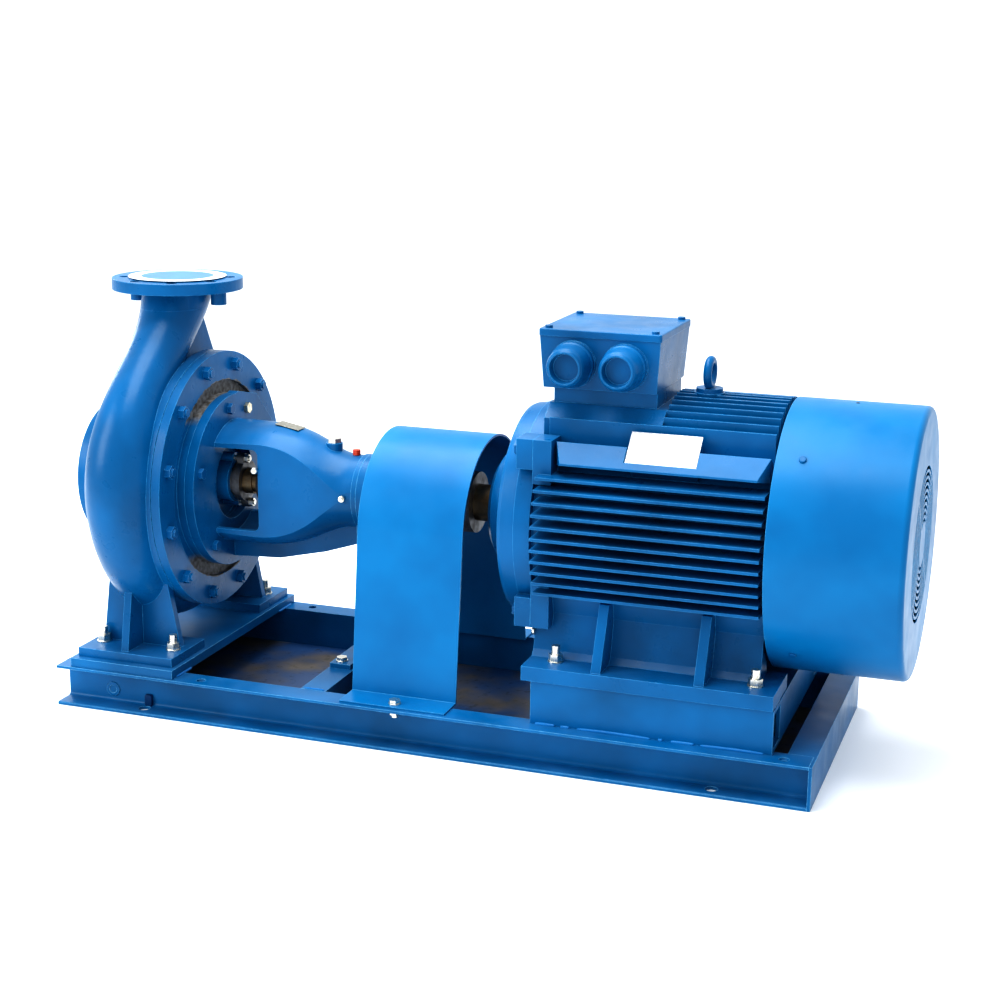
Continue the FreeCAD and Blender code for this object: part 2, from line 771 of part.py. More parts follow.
gland_spots = [(side * gland_stud_circle * math.cos(math.radians(gland_stud_angle)) * -1,
                side * gland_stud_circle * math.sin(math.radians(gland_stud_angle))) for side in (-1, 1)]
gland_bosses = [rod_x(gland_stud, at(cover_front - 1), at(box_end), y, z) for y, z in gland_spots]
gland_stud_holes = [rod_x(gland_stud / 2, at(box_end - 20), at(box_end + reach), y, z) for y, z in gland_spots]
cover = joined([cover] + gland_bosses).cut(cover_holes + bracket_stud_holes + gland_stud_holes)
save("casing_cover", cover)
cover_fasteners = []
for y, z in around(cover_bolts, cover_bolt_circle, 15):
    depth = stud_depth + cover_front - casing_face
    cover_fasteners += stud_and_nut(cover_bolt, depth, Vector(at(cover_front), y, shaft_z + z), X_AXIS)
save("cover_studs", cover_fasteners)

# Packing, lantern ring and gland
packing_bore = sleeve_radius + running_gap
x = box_start
rings = []
for k in range(packing_rings):
    if k == packing_rings // 2:
        rings.append(turned([(x, packing_bore), (x, box_bore), (x + 2, box_bore), (x + 2, box_bore - 3),
                             (x + lantern_width - 2, box_bore - 3), (x + lantern_width - 2, box_bore),
                             (x + lantern_width, box_bore), (x + lantern_width, packing_bore)]))
        x = x + lantern_width
    rings.append(ring_x(box_bore, packing_bore, at(x), at(x + packing_width)))
    x = x + packing_width
save("packing_rings", rings)
gland_face = box_end + gland_gap
follower = joined([ring_x(gland_radius, packing_bore, at(gland_face), at(gland_face + gland_flange)),
                   ring_x(box_bore - seat_clearance, packing_bore, at(x), at(gland_face))]
                  + [rod_x(gland_stud, at(gland_face), at(gland_face + gland_flange), y, z) for y, z in gland_spots])
ear_turn = math.degrees(math.atan2(gland_spots[1][1], gland_spots[1][0]))
ear_bar = box(at(gland_face), at(gland_face + gland_flange), -gland_stud_circle, gland_stud_circle,
              shaft_z - gland_stud, shaft_z + gland_stud)
ear_bar.rotate(Vector(0, 0, shaft_z), X_AXIS, ear_turn)
follower = joined([follower, ear_bar]).cut(
    [rod_x(gland_stud / 2 + bolt_clearance, at(gland_face - reach), at(gland_face + gland_flange + reach), y, z)
     for y, z in gland_spots] + [rod_x(packing_bore, at(gland_face - reach), at(gland_face + 4 * reach))])
save("gland_follower", follower)
gland_fasteners = []
for y, z in gland_spots:
    seat = Vector(at(gland_face + gland_flange), y, shaft_z + z)
    gland_fasteners += stud_and_nut(gland_stud, gland_flange + gland_gap + 20, seat, X_AXIS)
save("gland_studs", gland_fasteners)
save("shaft_sleeve", ring_x(sleeve_radius, shaft_sleeve_bore, at(hub_end), at(sleeve_end)))

# Bearing bracket
bracket_curve = Part.BezierCurve()
bracket_curve.setPoles([Vector(at(shoulder_end), 0, shaft_z + shoulder_radius),
                        Vector(at(shoulder_end + shoulder_run), 0, shaft_z + shoulder_radius),
                        Vector(at(taper_end - taper_run), 0, shaft_z + housing_radius),
                        Vector(at(taper_end), 0, shaft_z + housing_radius)])


def bracket_rise(x):
    """Height of the bracket's tapered outside over the shaft, at a place along the shaft."""
    low, high = 0.0, 1.0
    for _ in range(30):
        share = (low + high) / 2
        if bracket_curve.value(share).x < at(x):
            low = share
        else:
            high = share
    return bracket_curve.value(low).z - shaft_z


corners = [Vector(at(taper_end), 0, shaft_z + housing_radius), Vector(at(housing_end), 0, shaft_z + housing_radius),
           Vector(at(housing_end), 0, shaft_z), Vector(at(bracket_back), 0, shaft_z),
           Vector(at(bracket_back), 0, shaft_z + shoulder_radius), Vector(at(shoulder_end), 0, shaft_z + shoulder_radius)]
outline = Part.Wire([bracket_curve.toShape()] + Part.makePolygon(corners).Edges)
body = Part.Face(outline).revolve(Vector(0, 0, shaft_z), X_AXIS, 360)
plan = [Vector(at(bracket_back), -cheek_start_y, 0), Vector(at(housing_end), -cheek_end_y, 0),
        Vector(at(housing_end), cheek_end_y, 0), Vector(at(bracket_back), cheek_start_y, 0)]
body = body.common(prism(plan, Vector(0, 0, 2 * shaft_z)))
keel_line = [(bracket_front - 2, bracket_flange_radius - 12), (keel_low_x, keel_depth), (keel_mid_x, keel_mid_depth),
             (taper_end, keel_end_depth), (housing_end, keel_end_depth), (housing_end, pump_bearing_radius),
             (bracket_front - 2, pump_bearing_radius)]
keel = prism([Vector(at(x), -keel_thickness / 2, shaft_z - depth) for x, depth in keel_line],
             Vector(0, keel_thickness, 0))
bracket = joined([rod_x(bracket_flange_radius, at(bracket_back), at(bracket_front)),
                  plate_yz(lug_outline, at(bracket_back), at(bracket_front)), body, keel])
lantern = rod_x(shoulder_radius - bracket_wall, at(bracket_front), at(lantern_end)).common(
    box(at(bracket_front), at(lantern_end), bracket_wall - cheek_start_y, cheek_start_y - bracket_wall, 0, 2 * shaft_z))
window = box(at(bracket_front), at(lantern_end), -cheek_start_y - reach, cheek_start_y + reach,
             shaft_z - window_half, shaft_z + window_half)
window = window.makeFillet(window_corner, [e for e in window.Edges if abs(e.Length - 2 * (cheek_start_y + reach)) < 0.01
                                           and e.CenterOfMass.x > at(lantern_end) - 1])
mouth = rod_x(bracket_bore, at(bracket_back - reach), at(bracket_front + 1))
seal_bore = pump_journal + 8
bores = [lantern, window, mouth, rod_x(seal_bore, at(lantern_end - reach), at(housing_end + reach)),
         rod_x(pump_bearing_radius, at(bearing_stop), at(housing_end + reach))]
bracket_holes = [rod_x(bracket_bolt / 2 + bolt_clearance, at(bracket_back - reach), at(bracket_front + 3), y, z)
                 for y, z in bracket_spots]
jack_hole = rod_x(bracket_bolt / 2, at(bracket_back - reach), at(bracket_front + reach), jack_y, jack_rise)
cap_radius = 6.0
filler_radius = 13.0
filler_x = 262.0
filler_stand = 8.0
breather_x = 299.0
cap_seat = bracket_rise(breather_x - cap_radius)
filler_seat = bracket_rise(filler_x) + filler_stand
filler_boss = rod_z(filler_radius, shaft_z + pump_bearing_radius - 2, shaft_z + filler_seat, at(filler_x), 0)
filler_hole = rod_z(filler_radius / 2, shaft_z, shaft_z + filler_seat + reach, at(filler_x), 0)
cap_hole = rod_z(cap_radius / 2, shaft_z, shaft_z + cap_seat + reach, at(breather_x), 0)
nipple_hole = rod_y(cap_radius / 2, -housing_radius - reach, 0, at(breather_x), shaft_z)
cover_screw_circle = 48.0
end_screws = 4
end_screw = 8.0
screw_holes = [rod_x(end_screw / 2, at(housing_end - 16), at(housing_end + reach), y, z)
               for y, z in around(end_screws, cover_screw_circle, 45)]
bracket = joined([bracket, filler_boss]).cut(bores + bracket_holes + screw_holes
                                             + [jack_hole, filler_hole, cap_hole, nipple_hole])
save("bearing_bracket", max(bracket.Solids, key=lambda solid: solid.Volume))
bracket_fasteners = []
for y, z in bracket_spots:
    bracket_fasteners.append(placed(hex_bolt(bracket_bolt, bracket_flange + bracket_seat + cover_flange - 3),
                                    Vector(at(bracket_front), y, shaft_z + z), X_AXIS))
bracket_fasteners.append(placed(hex_bolt(bracket_bolt, bracket_flange),
                                Vector(at(bracket_front), jack_y, shaft_z + jack_rise), X_AXIS))
filler = hexagon(1.5 * filler_radius, 7, 0).fuse(up_rod(filler_radius / 2, -12, 1)).removeSplitter()
filler = placed(filler, Vector(at(filler_x), 0, shaft_z + filler_seat), Z_AXIS)
cap = up_rod(cap_radius, 0, 8).fuse(up_rod(cap_radius / 2, -8, 1)).removeSplitter()
save("breather_cap", placed(cap, Vector(at(breather_x), 0, shaft_z + cap_seat), Z_AXIS))
nipple = up_rod(cap_radius * 0.8, 0, 5).fuse(up_rod(cap_radius / 2, -8, 1)).fuse(up_rod(cap_radius / 2, 4, 9))
nipple = placed(nipple.removeSplitter(), Vector(at(breather_x), -housing_radius, shaft_z), -Y_AXIS)
save("bearing_fittings", [filler, nipple])

# Support foot under the bearing end
base_top = rail_height + foot_plate
foot_ring = ring_x(end_cover_radius, pump_bearing_radius, at(housing_end), at(end_cover_back))
tongue = box(at(housing_end), at(end_cover_back), -foot_tongue_half, foot_tongue_half,
             foot_tongue_bottom, shaft_z - pump_bearing_radius - 2)
leg = box(at(housing_end), at(end_cover_back), -foot_leg_half, foot_leg_half, rail_height, foot_tongue_bottom + 1)
toe = box(at(cross_front + 2), at(cross_back - 4), -foot_base_half, foot_base_half, rail_height, base_top)
foot_screw_holes = [rod_x(end_screw / 2 + bolt_clearance, at(housing_end - reach), at(end_cover_front + reach), y, z)
                    for y, z in around(end_screws, cover_screw_circle, 45)]
toe_holes = [rod_z(foot_bolt / 2 + bolt_clearance, rail_height - reach, base_top + reach, foot_bolt_x, sy * foot_bolt_y)
             for sy in (-1, 1)]
support = joined([foot_ring, tongue, leg, toe]).cut(foot_screw_holes + toe_holes
                                                    + [rod_x(pump_bearing_radius, at(housing_end - 1), at(end_cover_back + 1))])
save("support_foot", support)
toe_fasteners = []
for sy in (-1, 1):
    toe_fasteners += bolt_and_nut(foot_bolt, foot_plate + rail_wall, Vector(foot_bolt_x, sy * foot_bolt_y, base_top), Z_AXIS)
end_seal = pump_seal_radius + 8
cover_shape = turned([(outer_bearing_end, end_seal), (outer_bearing_end, pump_bearing_radius - seat_clearance),
                      (end_cover_back, pump_bearing_radius - seat_clearance), (end_cover_back, end_cover_radius),
                      (end_cover_front, end_cover_radius), (end_cover_front, pump_seal_radius + 1),
                      (end_cover_front - 4, pump_seal_radius + 1), (end_cover_front - 4, end_seal)])
save("bearing_end_cover", cover_shape.cut(foot_screw_holes))
save("end_cover_screws", [placed(hex_bolt(end_screw, end_cover_flange + foot_plate + 14),
                                 Vector(at(end_cover_front), y, shaft_z + z), X_AXIS)
                          for y, z in around(end_screws, cover_screw_circle, 45)])
save("oil_seals", [ring_x(seal_bore, pump_journal + running_gap, at(lantern_end + 3), at(lantern_end + 12)),
                   ring_x(end_seal, pump_seal_radius + running_gap, at(end_cover_front - 13), at(end_cover_front - 4))])

# Pump shaft
collar_start = bearing_stop + pump_bearing_width
pump_shaft = turned([(-10 - nut_length * 0.7, 0), (-10 - nut_length * 0.7, thread_radius), (-10, thread_radius),
                     (-10, impeller_bore), (hub_end, impeller_bore), (hub_end, shaft_sleeve_bore),
                     (sleeve_end, shaft_sleeve_bore), (sleeve_end, pump_journal), (collar_start, pump_journal),
                     (collar_start, pump_collar), (outer_bearing_start, pump_collar),
                     (outer_bearing_start, pump_journal), (outer_bearing_end, pump_journal),
                     (outer_bearing_end, pump_seal_radius), (end_cover_front + 8, pump_seal_radius),
                     (end_cover_front + 8, pump_coupling_radius), (pump_shaft_end, pump_coupling_radius),
                     (pump_shaft_end, 0)])
save("deflector", ring_x(deflector_radius, pump_journal, at(deflector_x), at(deflector_x + deflector_width)))


# Ball bearings
def bearing(inner, outer, width, balls, start):
    """Outer ring, inner ring, balls and cage of one bearing, with clear races."""
    pitch = (inner + outer) / 2
    ball = 0.3 * (outer - inner)
    middle = start + width / 2
    race = ball + running_gap
    groove = Part.makeTorus(pitch, race, Vector(at(middle), 0, shaft_z), X_AXIS)
    land = 0.55 * ball
    outer_ring = ring_x(outer, pitch + land, at(start), at(start + width)).cut(groove)
    inner_ring = ring_x(pitch - land, inner, at(start), at(start + width)).cut(groove)
    spots = around(balls, pitch)
    rollers = [Part.makeSphere(ball, Vector(at(middle), y, shaft_z + z)) for y, z in spots]
    pockets = [Part.makeCylinder(ball + running_gap / 3, pitch, Vector(at(middle), 0, shaft_z), Vector(0, y, z))
               for y, z in spots]
    band = ring_x(pitch + land / 2, pitch - land / 2, at(middle - 1.25 * ball), at(middle + 1.25 * ball))
    return outer_ring, inner_ring, rollers, band.cut(pockets)


inner_start = bearing_stop
pump_sets = [bearing(pump_journal, pump_bearing_radius, pump_bearing_width, pump_balls, start)
             for start in (inner_start, outer_bearing_start)]
save("pump_inner_rings", [parts[1] for parts in pump_sets])
save("pump_bearing_balls", [solid for parts in pump_sets for solid in parts[2] + parts[3].Solids])


# Coupling
def key(radius, x0, x1):
    """Flat key half sunk in a shaft, on its top."""
    return box(at(x0), at(x1), -key_width / 2, key_width / 2, shaft_z + radius - key_rise, shaft_z + radius + key_rise)


disc_start = pump_shaft_end - 14
pump_hub_start = disc_start - coupling_disc - coupling_hub_length
jaw_end = disc_start + jaw_length
motor_disc = disc_start + jaw_length + 12
motor_disc_end = motor_disc + coupling_disc
motor_hub_end = motor_disc_end + coupling_hub_length
pump_key = key(pump_coupling_radius, pump_hub_start + 2, disc_start - 2)
motor_key = key(motor_shaft_radius, motor_disc + 2, motor_hub_end - 2)
save("pump_shaft", pump_shaft.cut(pump_key))
jaws = [sector(jaw_inner, coupling_radius, 90 * k, jaw_angle, at(disc_start - 1), at(motor_disc - 2)) for k in range(jaw_count)]
pump_half = joined([rod_x(coupling_hub, at(pump_hub_start), at(disc_start)),
                    rod_x(coupling_radius, at(disc_start - coupling_disc), at(disc_start))] + jaws)
save("pump_coupling_half", pump_half.cut([rod_x(pump_coupling_radius, at(pump_hub_start - reach), at(jaw_end)), pump_key]))
jaws = [sector(jaw_inner, coupling_radius, 45 + 90 * k, jaw_angle, at(disc_start + 2), at(motor_disc + 1))
        for k in range(jaw_count)]
motor_half = joined([rod_x(coupling_hub, at(motor_disc), at(motor_hub_end)),
                     rod_x(coupling_radius, at(motor_disc), at(motor_disc_end))] + jaws)
save("motor_coupling_half", motor_half.cut([rod_x(motor_shaft_radius, at(disc_start), at(motor_hub_end + reach)), motor_key]))
arm_angle = 360 / (2 * jaw_count) - jaw_angle
gap_angle = math.degrees(2 * running_gap / jaw_inner)
arms = []
for k in range(2 * jaw_count):
    lean = 1 if k % 2 == 0 else -1
    middle = 22.5 + 45 * k + lean * gap_angle / 2
    arms.append(sector(spider_inner + 2, coupling_radius - 2, middle, arm_angle - gap_angle,
                       at(disc_start + 1), at(motor_disc)))
save("coupling_spider", joined([ring_x(spider_ring, spider_inner, at(disc_start + 1), at(motor_disc))] + arms))
save("pump_key", pump_key)
save("motor_key", motor_key)

# Coupling guard
run = math.hypot(guard_foot_y, guard_centre_z - rail_height)
lean = math.atan2(guard_centre_z - rail_height, guard_foot_y)


def guard_outline(inset):
    """Arch with two straight legs that leave it at a tangent, drawn in by the sheet."""
    radius = guard_arch - inset
    turn = -lean + math.acos(guard_arch / run)
    y1 = radius * math.cos(turn)
    z1 = guard_centre_z + radius * math.sin(turn)
    foot_y = guard_foot_y - inset / math.cos(turn)
    foot_z = rail_height
    arch = Part.Arc(Vector(at(guard_start), y1, z1), Vector(at(guard_start), 0, guard_centre_z + radius),
                    Vector(at(guard_start), -y1, z1)).toShape()
    foot = Vector(at(guard_start), foot_y, foot_z)
    far_foot = Vector(at(guard_start), -foot_y, foot_z)
    edges = [Part.makeLine(foot, Vector(at(guard_start), y1, z1)), arch,
             Part.makeLine(Vector(at(guard_start), -y1, z1), far_foot), Part.makeLine(far_foot, foot)]
    return Part.Face(Part.Wire(edges)).extrude(Vector(guard_end - guard_start, 0, 0))


lips = [box(at(guard_start), at(guard_end), min(sy * (guard_foot_y - 2), sy * guard_lip_y),
            max(sy * (guard_foot_y - 2), sy * guard_lip_y), rail_height, rail_height + guard_sheet) for sy in (-1, 1)]
guard = joined([guard_outline(0).cut(guard_outline(guard_sheet))] + lips)
lip_holes = [rod_z(guard_bolt / 2 + bolt_clearance, rail_height - reach, rail_height + reach,
                   at(guard_bolt_x), sy * guard_bolt_y) for sy in (-1, 1)]
save("coupling_guard", guard.cut(lip_holes))
guard_fasteners = []
for sy in (-1, 1):
    guard_fasteners += bolt_and_nut(guard_bolt, guard_sheet + rail_wall,
                                    Vector(at(guard_bolt_x), sy * guard_bolt_y, rail_height + guard_sheet), Z_AXIS)
save("frame_bolts", toe_fasteners + guard_fasteners)

# Motor housing
h0 = at(housing_start)
h1 = at(housing_stop)


def tip_reach(offset):
    """How far a fin reaches at an offset from the axis, so that all tips lie on one circle."""
    return math.sqrt(fin_tip_radius ** 2 - offset ** 2)


def slanted(length, width, low, high):
    """Block that faces up and out at 45 degrees on the gland side, between two distances from the shaft."""
    block = box(at(name_plate_x) - length / 2, at(name_plate_x) + length / 2, -width / 2, width / 2,
                shaft_z + low, shaft_z + high)
    block.rotate(Vector(0, 0, shaft_z), X_AXIS, 45)
    return block


saddle_side = [(-saddle_low_y, saddle_low_rise), (-saddle_top_y, saddle_rise), (saddle_top_y, saddle_rise),
               (saddle_low_y, saddle_low_rise)]
saddle_ends = (at(neck_x0 - saddle_before), at(neck_x1 + saddle_after))
over_saddle = plate_yz(saddle_side + [(saddle_low_y, fin_tip_radius + 1), (-saddle_low_y, fin_tip_radius + 1)], *saddle_ends)
saddle = plate_yz(saddle_side + [(saddle_low_y, barrel_radius - 60), (-saddle_low_y, barrel_radius - 60)], *saddle_ends)
solids = [rod_x(barrel_radius, h0, h1), saddle]


def ledge_plan(side):
    """Plan of the ledge between the fins, with both ends slanted back towards its tip."""
    slant = ledge_tip_start - ledge_start
    ends = [(at(ledge_start), 0), (at(ledge_start), ledge_top_y), (at(ledge_tip_start), ledge_tip_y + 1),
            (h1 - fin_end_gap - slant, ledge_tip_y + 1), (h1 - fin_end_gap, ledge_top_y), (h1 - fin_end_gap, 0)]
    return [Vector(x, side * y, 0) for x, y in ends]


solids.append(slanted(name_plate_length - 6, name_plate_width - 6, barrel_radius - 5, name_pad_reach))
for k in range(side_fins):
    rise = side_fin_bottom + k * side_fin_pitch
    tip = tip_reach(abs(rise) + fin_thickness / 2)
    solids.append(box(h0 + fin_start, h1 - fin_end_gap, -tip, tip, shaft_z + rise - fin_thickness / 2,
                      shaft_z + rise + fin_thickness / 2))
for k in range(top_fins):
    y = (k - (top_fins - 1) / 2) * top_fin_pitch
    tip = tip_reach(abs(y) + fin_thickness / 2)
    fin = box(h0 + fin_start, h1 - fin_end_gap, y - fin_thickness / 2, y + fin_thickness / 2,
              shaft_z + barrel_radius - 60, shaft_z + tip)
    solids.append(fin.cut(over_saddle))
for side in (-1, 1):
    solids.append(plate_yz([(side * ledge_tip_y, ledge_rise), (side * ledge_tip_y, ledge_rise + 3),
                            (side * ledge_top_y, ledge_top_rise - 4), (side * (ledge_top_y - 40), ledge_top_rise - 30),
                            (side * 110, ledge_rise - 10)], at(ledge_start), h1 - fin_end_gap).common(
                                prism(ledge_plan(side), Vector(0, 0, 2 * shaft_z))))
    leg_outline = [(side * motor_foot_y, mount_z - shaft_z), (side * motor_foot_y, mount_z - shaft_z + motor_foot_thickness),
                   (side * 147, mount_z - shaft_z + motor_foot_thickness), (side * 139, -170), (side * 134, -154),
                   (side * 130, -136), (side * 126, -118),
                   (side * 134, -88), (side * 120, -70), (side * 98, -108), (side * 108, -140),
                   (side * motor_foot_inner, mount_z - shaft_z + motor_foot_thickness), (side * motor_foot_inner, mount_z - shaft_z)]
    solids.append(plate_yz(leg_outline, at(motor_foot_start), h1 - fin_end_gap))
    foot = box(at(motor_foot_start), at(motor_foot_end), min(side * motor_foot_inner, side * motor_foot_y),
               max(side * motor_foot_inner, side * motor_foot_y), mount_z, mount_z + motor_foot_thickness)
    solids.append(foot)
    for rx in rib_x:
        x0 = at(motor_foot_start + rx)
        solids.append(plate_yz([(side * 190, mount_z - shaft_z + 20), (side * 152, -90), (side * 120, -90),
                                (side * 120, mount_z - shaft_z + 20)], x0, x0 + rib_width))
    for sz in (-1, 1):
        solids.append(box(h0, h0 + ear_length, min(side * ear_inner_y, side * ear_outer_y),
                          max(side * ear_inner_y, side * ear_outer_y), shaft_z + min(sz * ear_low, sz * ear_high) - (sz > 0) * 20,
                          shaft_z + max(sz * ear_low, sz * ear_high) + (sz < 0) * 20))
solids.append(box(at(neck_x0), at(neck_x1), -neck_half_y, neck_half_y, shaft_z + neck_bottom, shaft_z + box_bottom))
solids.append(rod_z(eye_collar + 3, shaft_z + barrel_radius - 10, shaft_z + eye_collar_z, at(eye_x), 0))
eye_hole = rod_z(8, shaft_z + eye_collar_z - 25, shaft_z + eye_collar_z + reach, at(eye_x), 0)
shield_spots = [(sy * 128, sz * 118) for sy in (-1, 1) for sz in (-1, 1)]
shield_threads = [rod_x(shield_bolt / 2, h0, h0 + ear_length - 4, y, z) for y, z in shield_spots]
wire_way = box(at(neck_x0 + 30), at(neck_x1 - 30), -30, 30, shaft_z, shaft_z + box_bottom + reach)
name_recess = slanted(name_plate_length + 2, name_plate_width + 2, name_pad_reach, name_pad_reach + reach)
hollows = [rod_x(barrel_bore, h0 - reach, h1 + reach), eye_hole, wire_way, name_recess]
housing = joined(solids).cut(hollows + motor_holes + shield_threads)
save("motor_housing", max(housing.Solids, key=lambda solid: solid.Volume))

# Nameplate on its pad, turned to face up and out
save("motor_nameplate", slanted(name_plate_length, name_plate_width, name_pad_reach, name_pad_reach + plate_thickness))
bracket_plate_x = 168.0
bracket_plate_length = 40.0
plate_fall = bracket_rise(bracket_plate_x) - bracket_rise(bracket_plate_x + bracket_plate_length)
slope = math.degrees(math.atan2(plate_fall, bracket_plate_length))
label = Part.makeBox(bracket_plate_length, 26, plate_thickness, Vector(0, -13, 0))
bow = bracket_rise(bracket_plate_x + bracket_plate_length / 2) - bracket_rise(bracket_plate_x) + plate_fall / 2
label.Placement = FreeCAD.Placement(Vector(at(bracket_plate_x), 0, shaft_z + bracket_rise(bracket_plate_x) + bow),
                                    FreeCAD.Rotation(Y_AXIS, slope))
save("pump_nameplate", label)

# Drive-end and fan-end shields
bearing_seat = shield_back - 3 - motor_bearing_width
seal_gap = 1.0
seal_bore_motor = motor_shaft_radius + seal_gap + 3
ear_front = housing_start - shield_ear
cavity_radius = barrel_bore - 12
drive_shield = turned([(motor_shoulder, seal_bore_motor), (motor_shoulder, shield_hub_radius - 12),
                       (motor_shoulder + 8, shield_hub_radius), (bell_front, shield_hub_radius + 8),
                       (bell_front, bell_radius - bell_edge), (bell_front + 0.3 * bell_edge, bell_radius - 0.3 * bell_edge),
                       (bell_front + bell_edge, bell_radius), (ear_front, bell_radius + 3), (ear_front, shield_radius),
                       (housing_start, shield_radius), (housing_start, barrel_bore - seat_clearance),
                       (housing_start + shield_spigot, barrel_bore - seat_clearance),
                       (housing_start + shield_spigot, cavity_radius), (bell_front + bell_wall, cavity_radius),
                       (bell_front + bell_wall, shield_hub_radius), (shield_back, shield_hub_radius),
                       (shield_back, motor_bearing_radius), (bearing_seat, motor_bearing_radius),
                       (bearing_seat, seal_bore_motor)])
shield_ears = [box(at(ear_front), h0, min(sy * ear_inner_y, sy * ear_outer_y), max(sy * ear_inner_y, sy * ear_outer_y),
                   shaft_z + min(sz * ear_low, sz * ear_high), shaft_z + max(sz * ear_low, sz * ear_high))
               for sy in (-1, 1) for sz in (-1, 1)]
ear_holes = [rod_x(shield_bolt / 2 + bolt_clearance, at(ear_front - reach), h0 + reach, y, z) for y, z in shield_spots]
save("drive_end_shield", joined([drive_shield] + shield_ears).cut(ear_holes))
shield_fasteners = [placed(hex_bolt(shield_bolt, shield_ear + ear_length - 5),
                           Vector(at(ear_front), y, shaft_z + z), X_AXIS * -1) for y, z in shield_spots]
save("flange_bolts", bracket_fasteners + shield_fasteners)
fan_shield_end = housing_stop + 14
fan_bearing = housing_stop - 4
rear_seat_end = fan_bearing + motor_bearing_width
fan_shield = turned([(housing_stop - shield_spigot, barrel_bore - 12), (housing_stop - shield_spigot, barrel_bore - seat_clearance),
                     (housing_stop, barrel_bore - seat_clearance), (housing_stop, end_shield_radius),
                     (fan_shield_end, end_shield_radius), (fan_shield_end, shield_hub_radius + 10),
                     (rear_seat_end + 6, shield_hub_radius - 2), (rear_seat_end + 6, motor_journal + seal_gap),
                     (rear_seat_end, motor_journal + seal_gap), (rear_seat_end, motor_bearing_radius),
                     (fan_bearing - 2, motor_bearing_radius), (fan_bearing - 2, shield_hub_radius), (housing_stop + 6, shield_hub_radius + 12),
                     (housing_stop + 6, barrel_bore - 12)])
lug_reach = cowl_radius - cowl_sheet
lug_start = at(housing_stop + 4)
lug_end = lug_start + cowl_lug_length
cowl_lugs = []
for angle in (45, 135, 225, 315):
    lug = box(lug_start, lug_end, -cowl_lug_half, cowl_lug_half,
              shaft_z + end_shield_radius - 20, shaft_z + lug_reach + reach)
    lug = lug.common(rod_x(lug_reach, lug_start, lug_end))
    lug.rotate(Vector(0, 0, shaft_z), X_AXIS, angle)
    cowl_lugs.append(lug)
screw_x = lug_end - 10


def radial(shape, angle, radius):
    """Piece made up from the origin, stood on a circle about the shaft and pointing outwards."""
    a = math.radians(angle)
    way = Vector(0, math.cos(a), math.sin(a))
    return placed(shape, Vector(screw_x, radius * math.cos(a), shaft_z + radius * math.sin(a)), way)


lug_holes = [radial(up_rod(cowl_screw / 2, -14, reach), angle, lug_reach) for angle in (45, 135, 225, 315)]
save("fan_end_shield", joined([fan_shield] + cowl_lugs).cut(lug_holes))

# Motor shaft, rotor, stator and windings
motor_shaft = turned([(motor_tip, 0), (motor_tip, motor_shaft_radius), (bearing_seat, motor_shaft_radius),
                      (bearing_seat, motor_journal), (bearing_seat + motor_bearing_width, motor_journal),
                      (bearing_seat + motor_bearing_width, motor_journal + 5), (fan_bearing, motor_journal + 5),
                      (fan_bearing, motor_journal), (rear_seat_end, motor_journal), (rear_seat_end, fan_seat_radius),
                      (fan_start + fan_width, fan_seat_radius), (fan_start + fan_width, 0)])
save("motor_shaft", motor_shaft.cut(motor_key))
stator_end = stator_start + stator_length
save("rotor_core", ring_x(rotor_radius, motor_journal + 5, at(stator_start), at(stator_end)))
save("stator_core", ring_x(barrel_bore, rotor_radius + stator_gap, at(stator_start), at(stator_end)))
winding_half = (winding_outer - winding_inner) / 2


def winding(x0, x1):
    shape = ring_x(winding_outer, winding_inner, at(x0), at(x1))
    return shape.makeFillet(winding_half * 0.6, [e for e in shape.Edges if len(e.Vertexes) == 1])


save("windings", [winding(stator_start - winding_length, stator_start), winding(stator_end, stator_end + winding_length)])
motor_sets = [bearing(motor_journal, motor_bearing_radius, motor_bearing_width, motor_balls, start)
              for start in (bearing_seat, fan_bearing)]
save("bearing_outer_rings", [parts[0] for parts in pump_sets + motor_sets])
save("motor_inner_rings", [parts[1] for parts in motor_sets])
save("motor_bearing_balls", [solid for parts in motor_sets for solid in parts[2] + parts[3].Solids])

# Fan and cowl
blades = [box(at(fan_start), at(fan_start + fan_width), -fan_blade / 2, fan_blade / 2,
              shaft_z + fan_hub_radius - 3, shaft_z + fan_radius) for k in range(fan_blades)]
for k, blade in enumerate(blades):
    blade.rotate(Vector(0, 0, shaft_z), X_AXIS, 360.0 * k / fan_blades)
fan = joined([rod_x(fan_hub_radius, at(fan_start), at(fan_start + fan_width)),
              rod_x(fan_radius * 0.62, at(fan_start), at(fan_start + fan_back))] + blades)
save("fan", fan.cut(rod_x(fan_seat_radius, at(fan_start - reach), at(fan_start + fan_width + reach))))
cowl = rod_x(cowl_radius, at(cowl_start), at(cowl_end))
rim = [e for e in cowl.Edges if len(e.Vertexes) == 1 and e.CenterOfMass.x > at(cowl_end) - 1]
cowl = cowl.makeFillet(cowl_edge, rim)
hollow = rod_x(cowl_radius - cowl_sheet, at(cowl_start - reach), at(cowl_end - cowl_sheet))
rim = [e for e in hollow.Edges if len(e.Vertexes) == 1 and e.CenterOfMass.x > at(cowl_end) - reach]
hollow = hollow.makeFillet(cowl_edge - cowl_sheet, rim)
slots = []
ring_step = (grille_outer - grille_inner) / grille_rings
for ring in range(grille_rings):
    r0 = grille_inner + ring * ring_step + grille_web / 2
    r1 = grille_inner + (ring + 1) * ring_step - grille_web / 2
    width = 360 / grille_slots - math.degrees(grille_web / ((r0 + r1) / 2))
    for k in range(grille_slots):
        slots.append(sector(r0, r1, k * 360 / grille_slots, width, at(cowl_end - 2 * reach), at(cowl_end + reach)))
screw_bores = [radial(up_rod(cowl_screw / 2 + seat_clearance, -reach, 2 * reach), angle, lug_reach)
               for angle in (45, 135, 225, 315)]
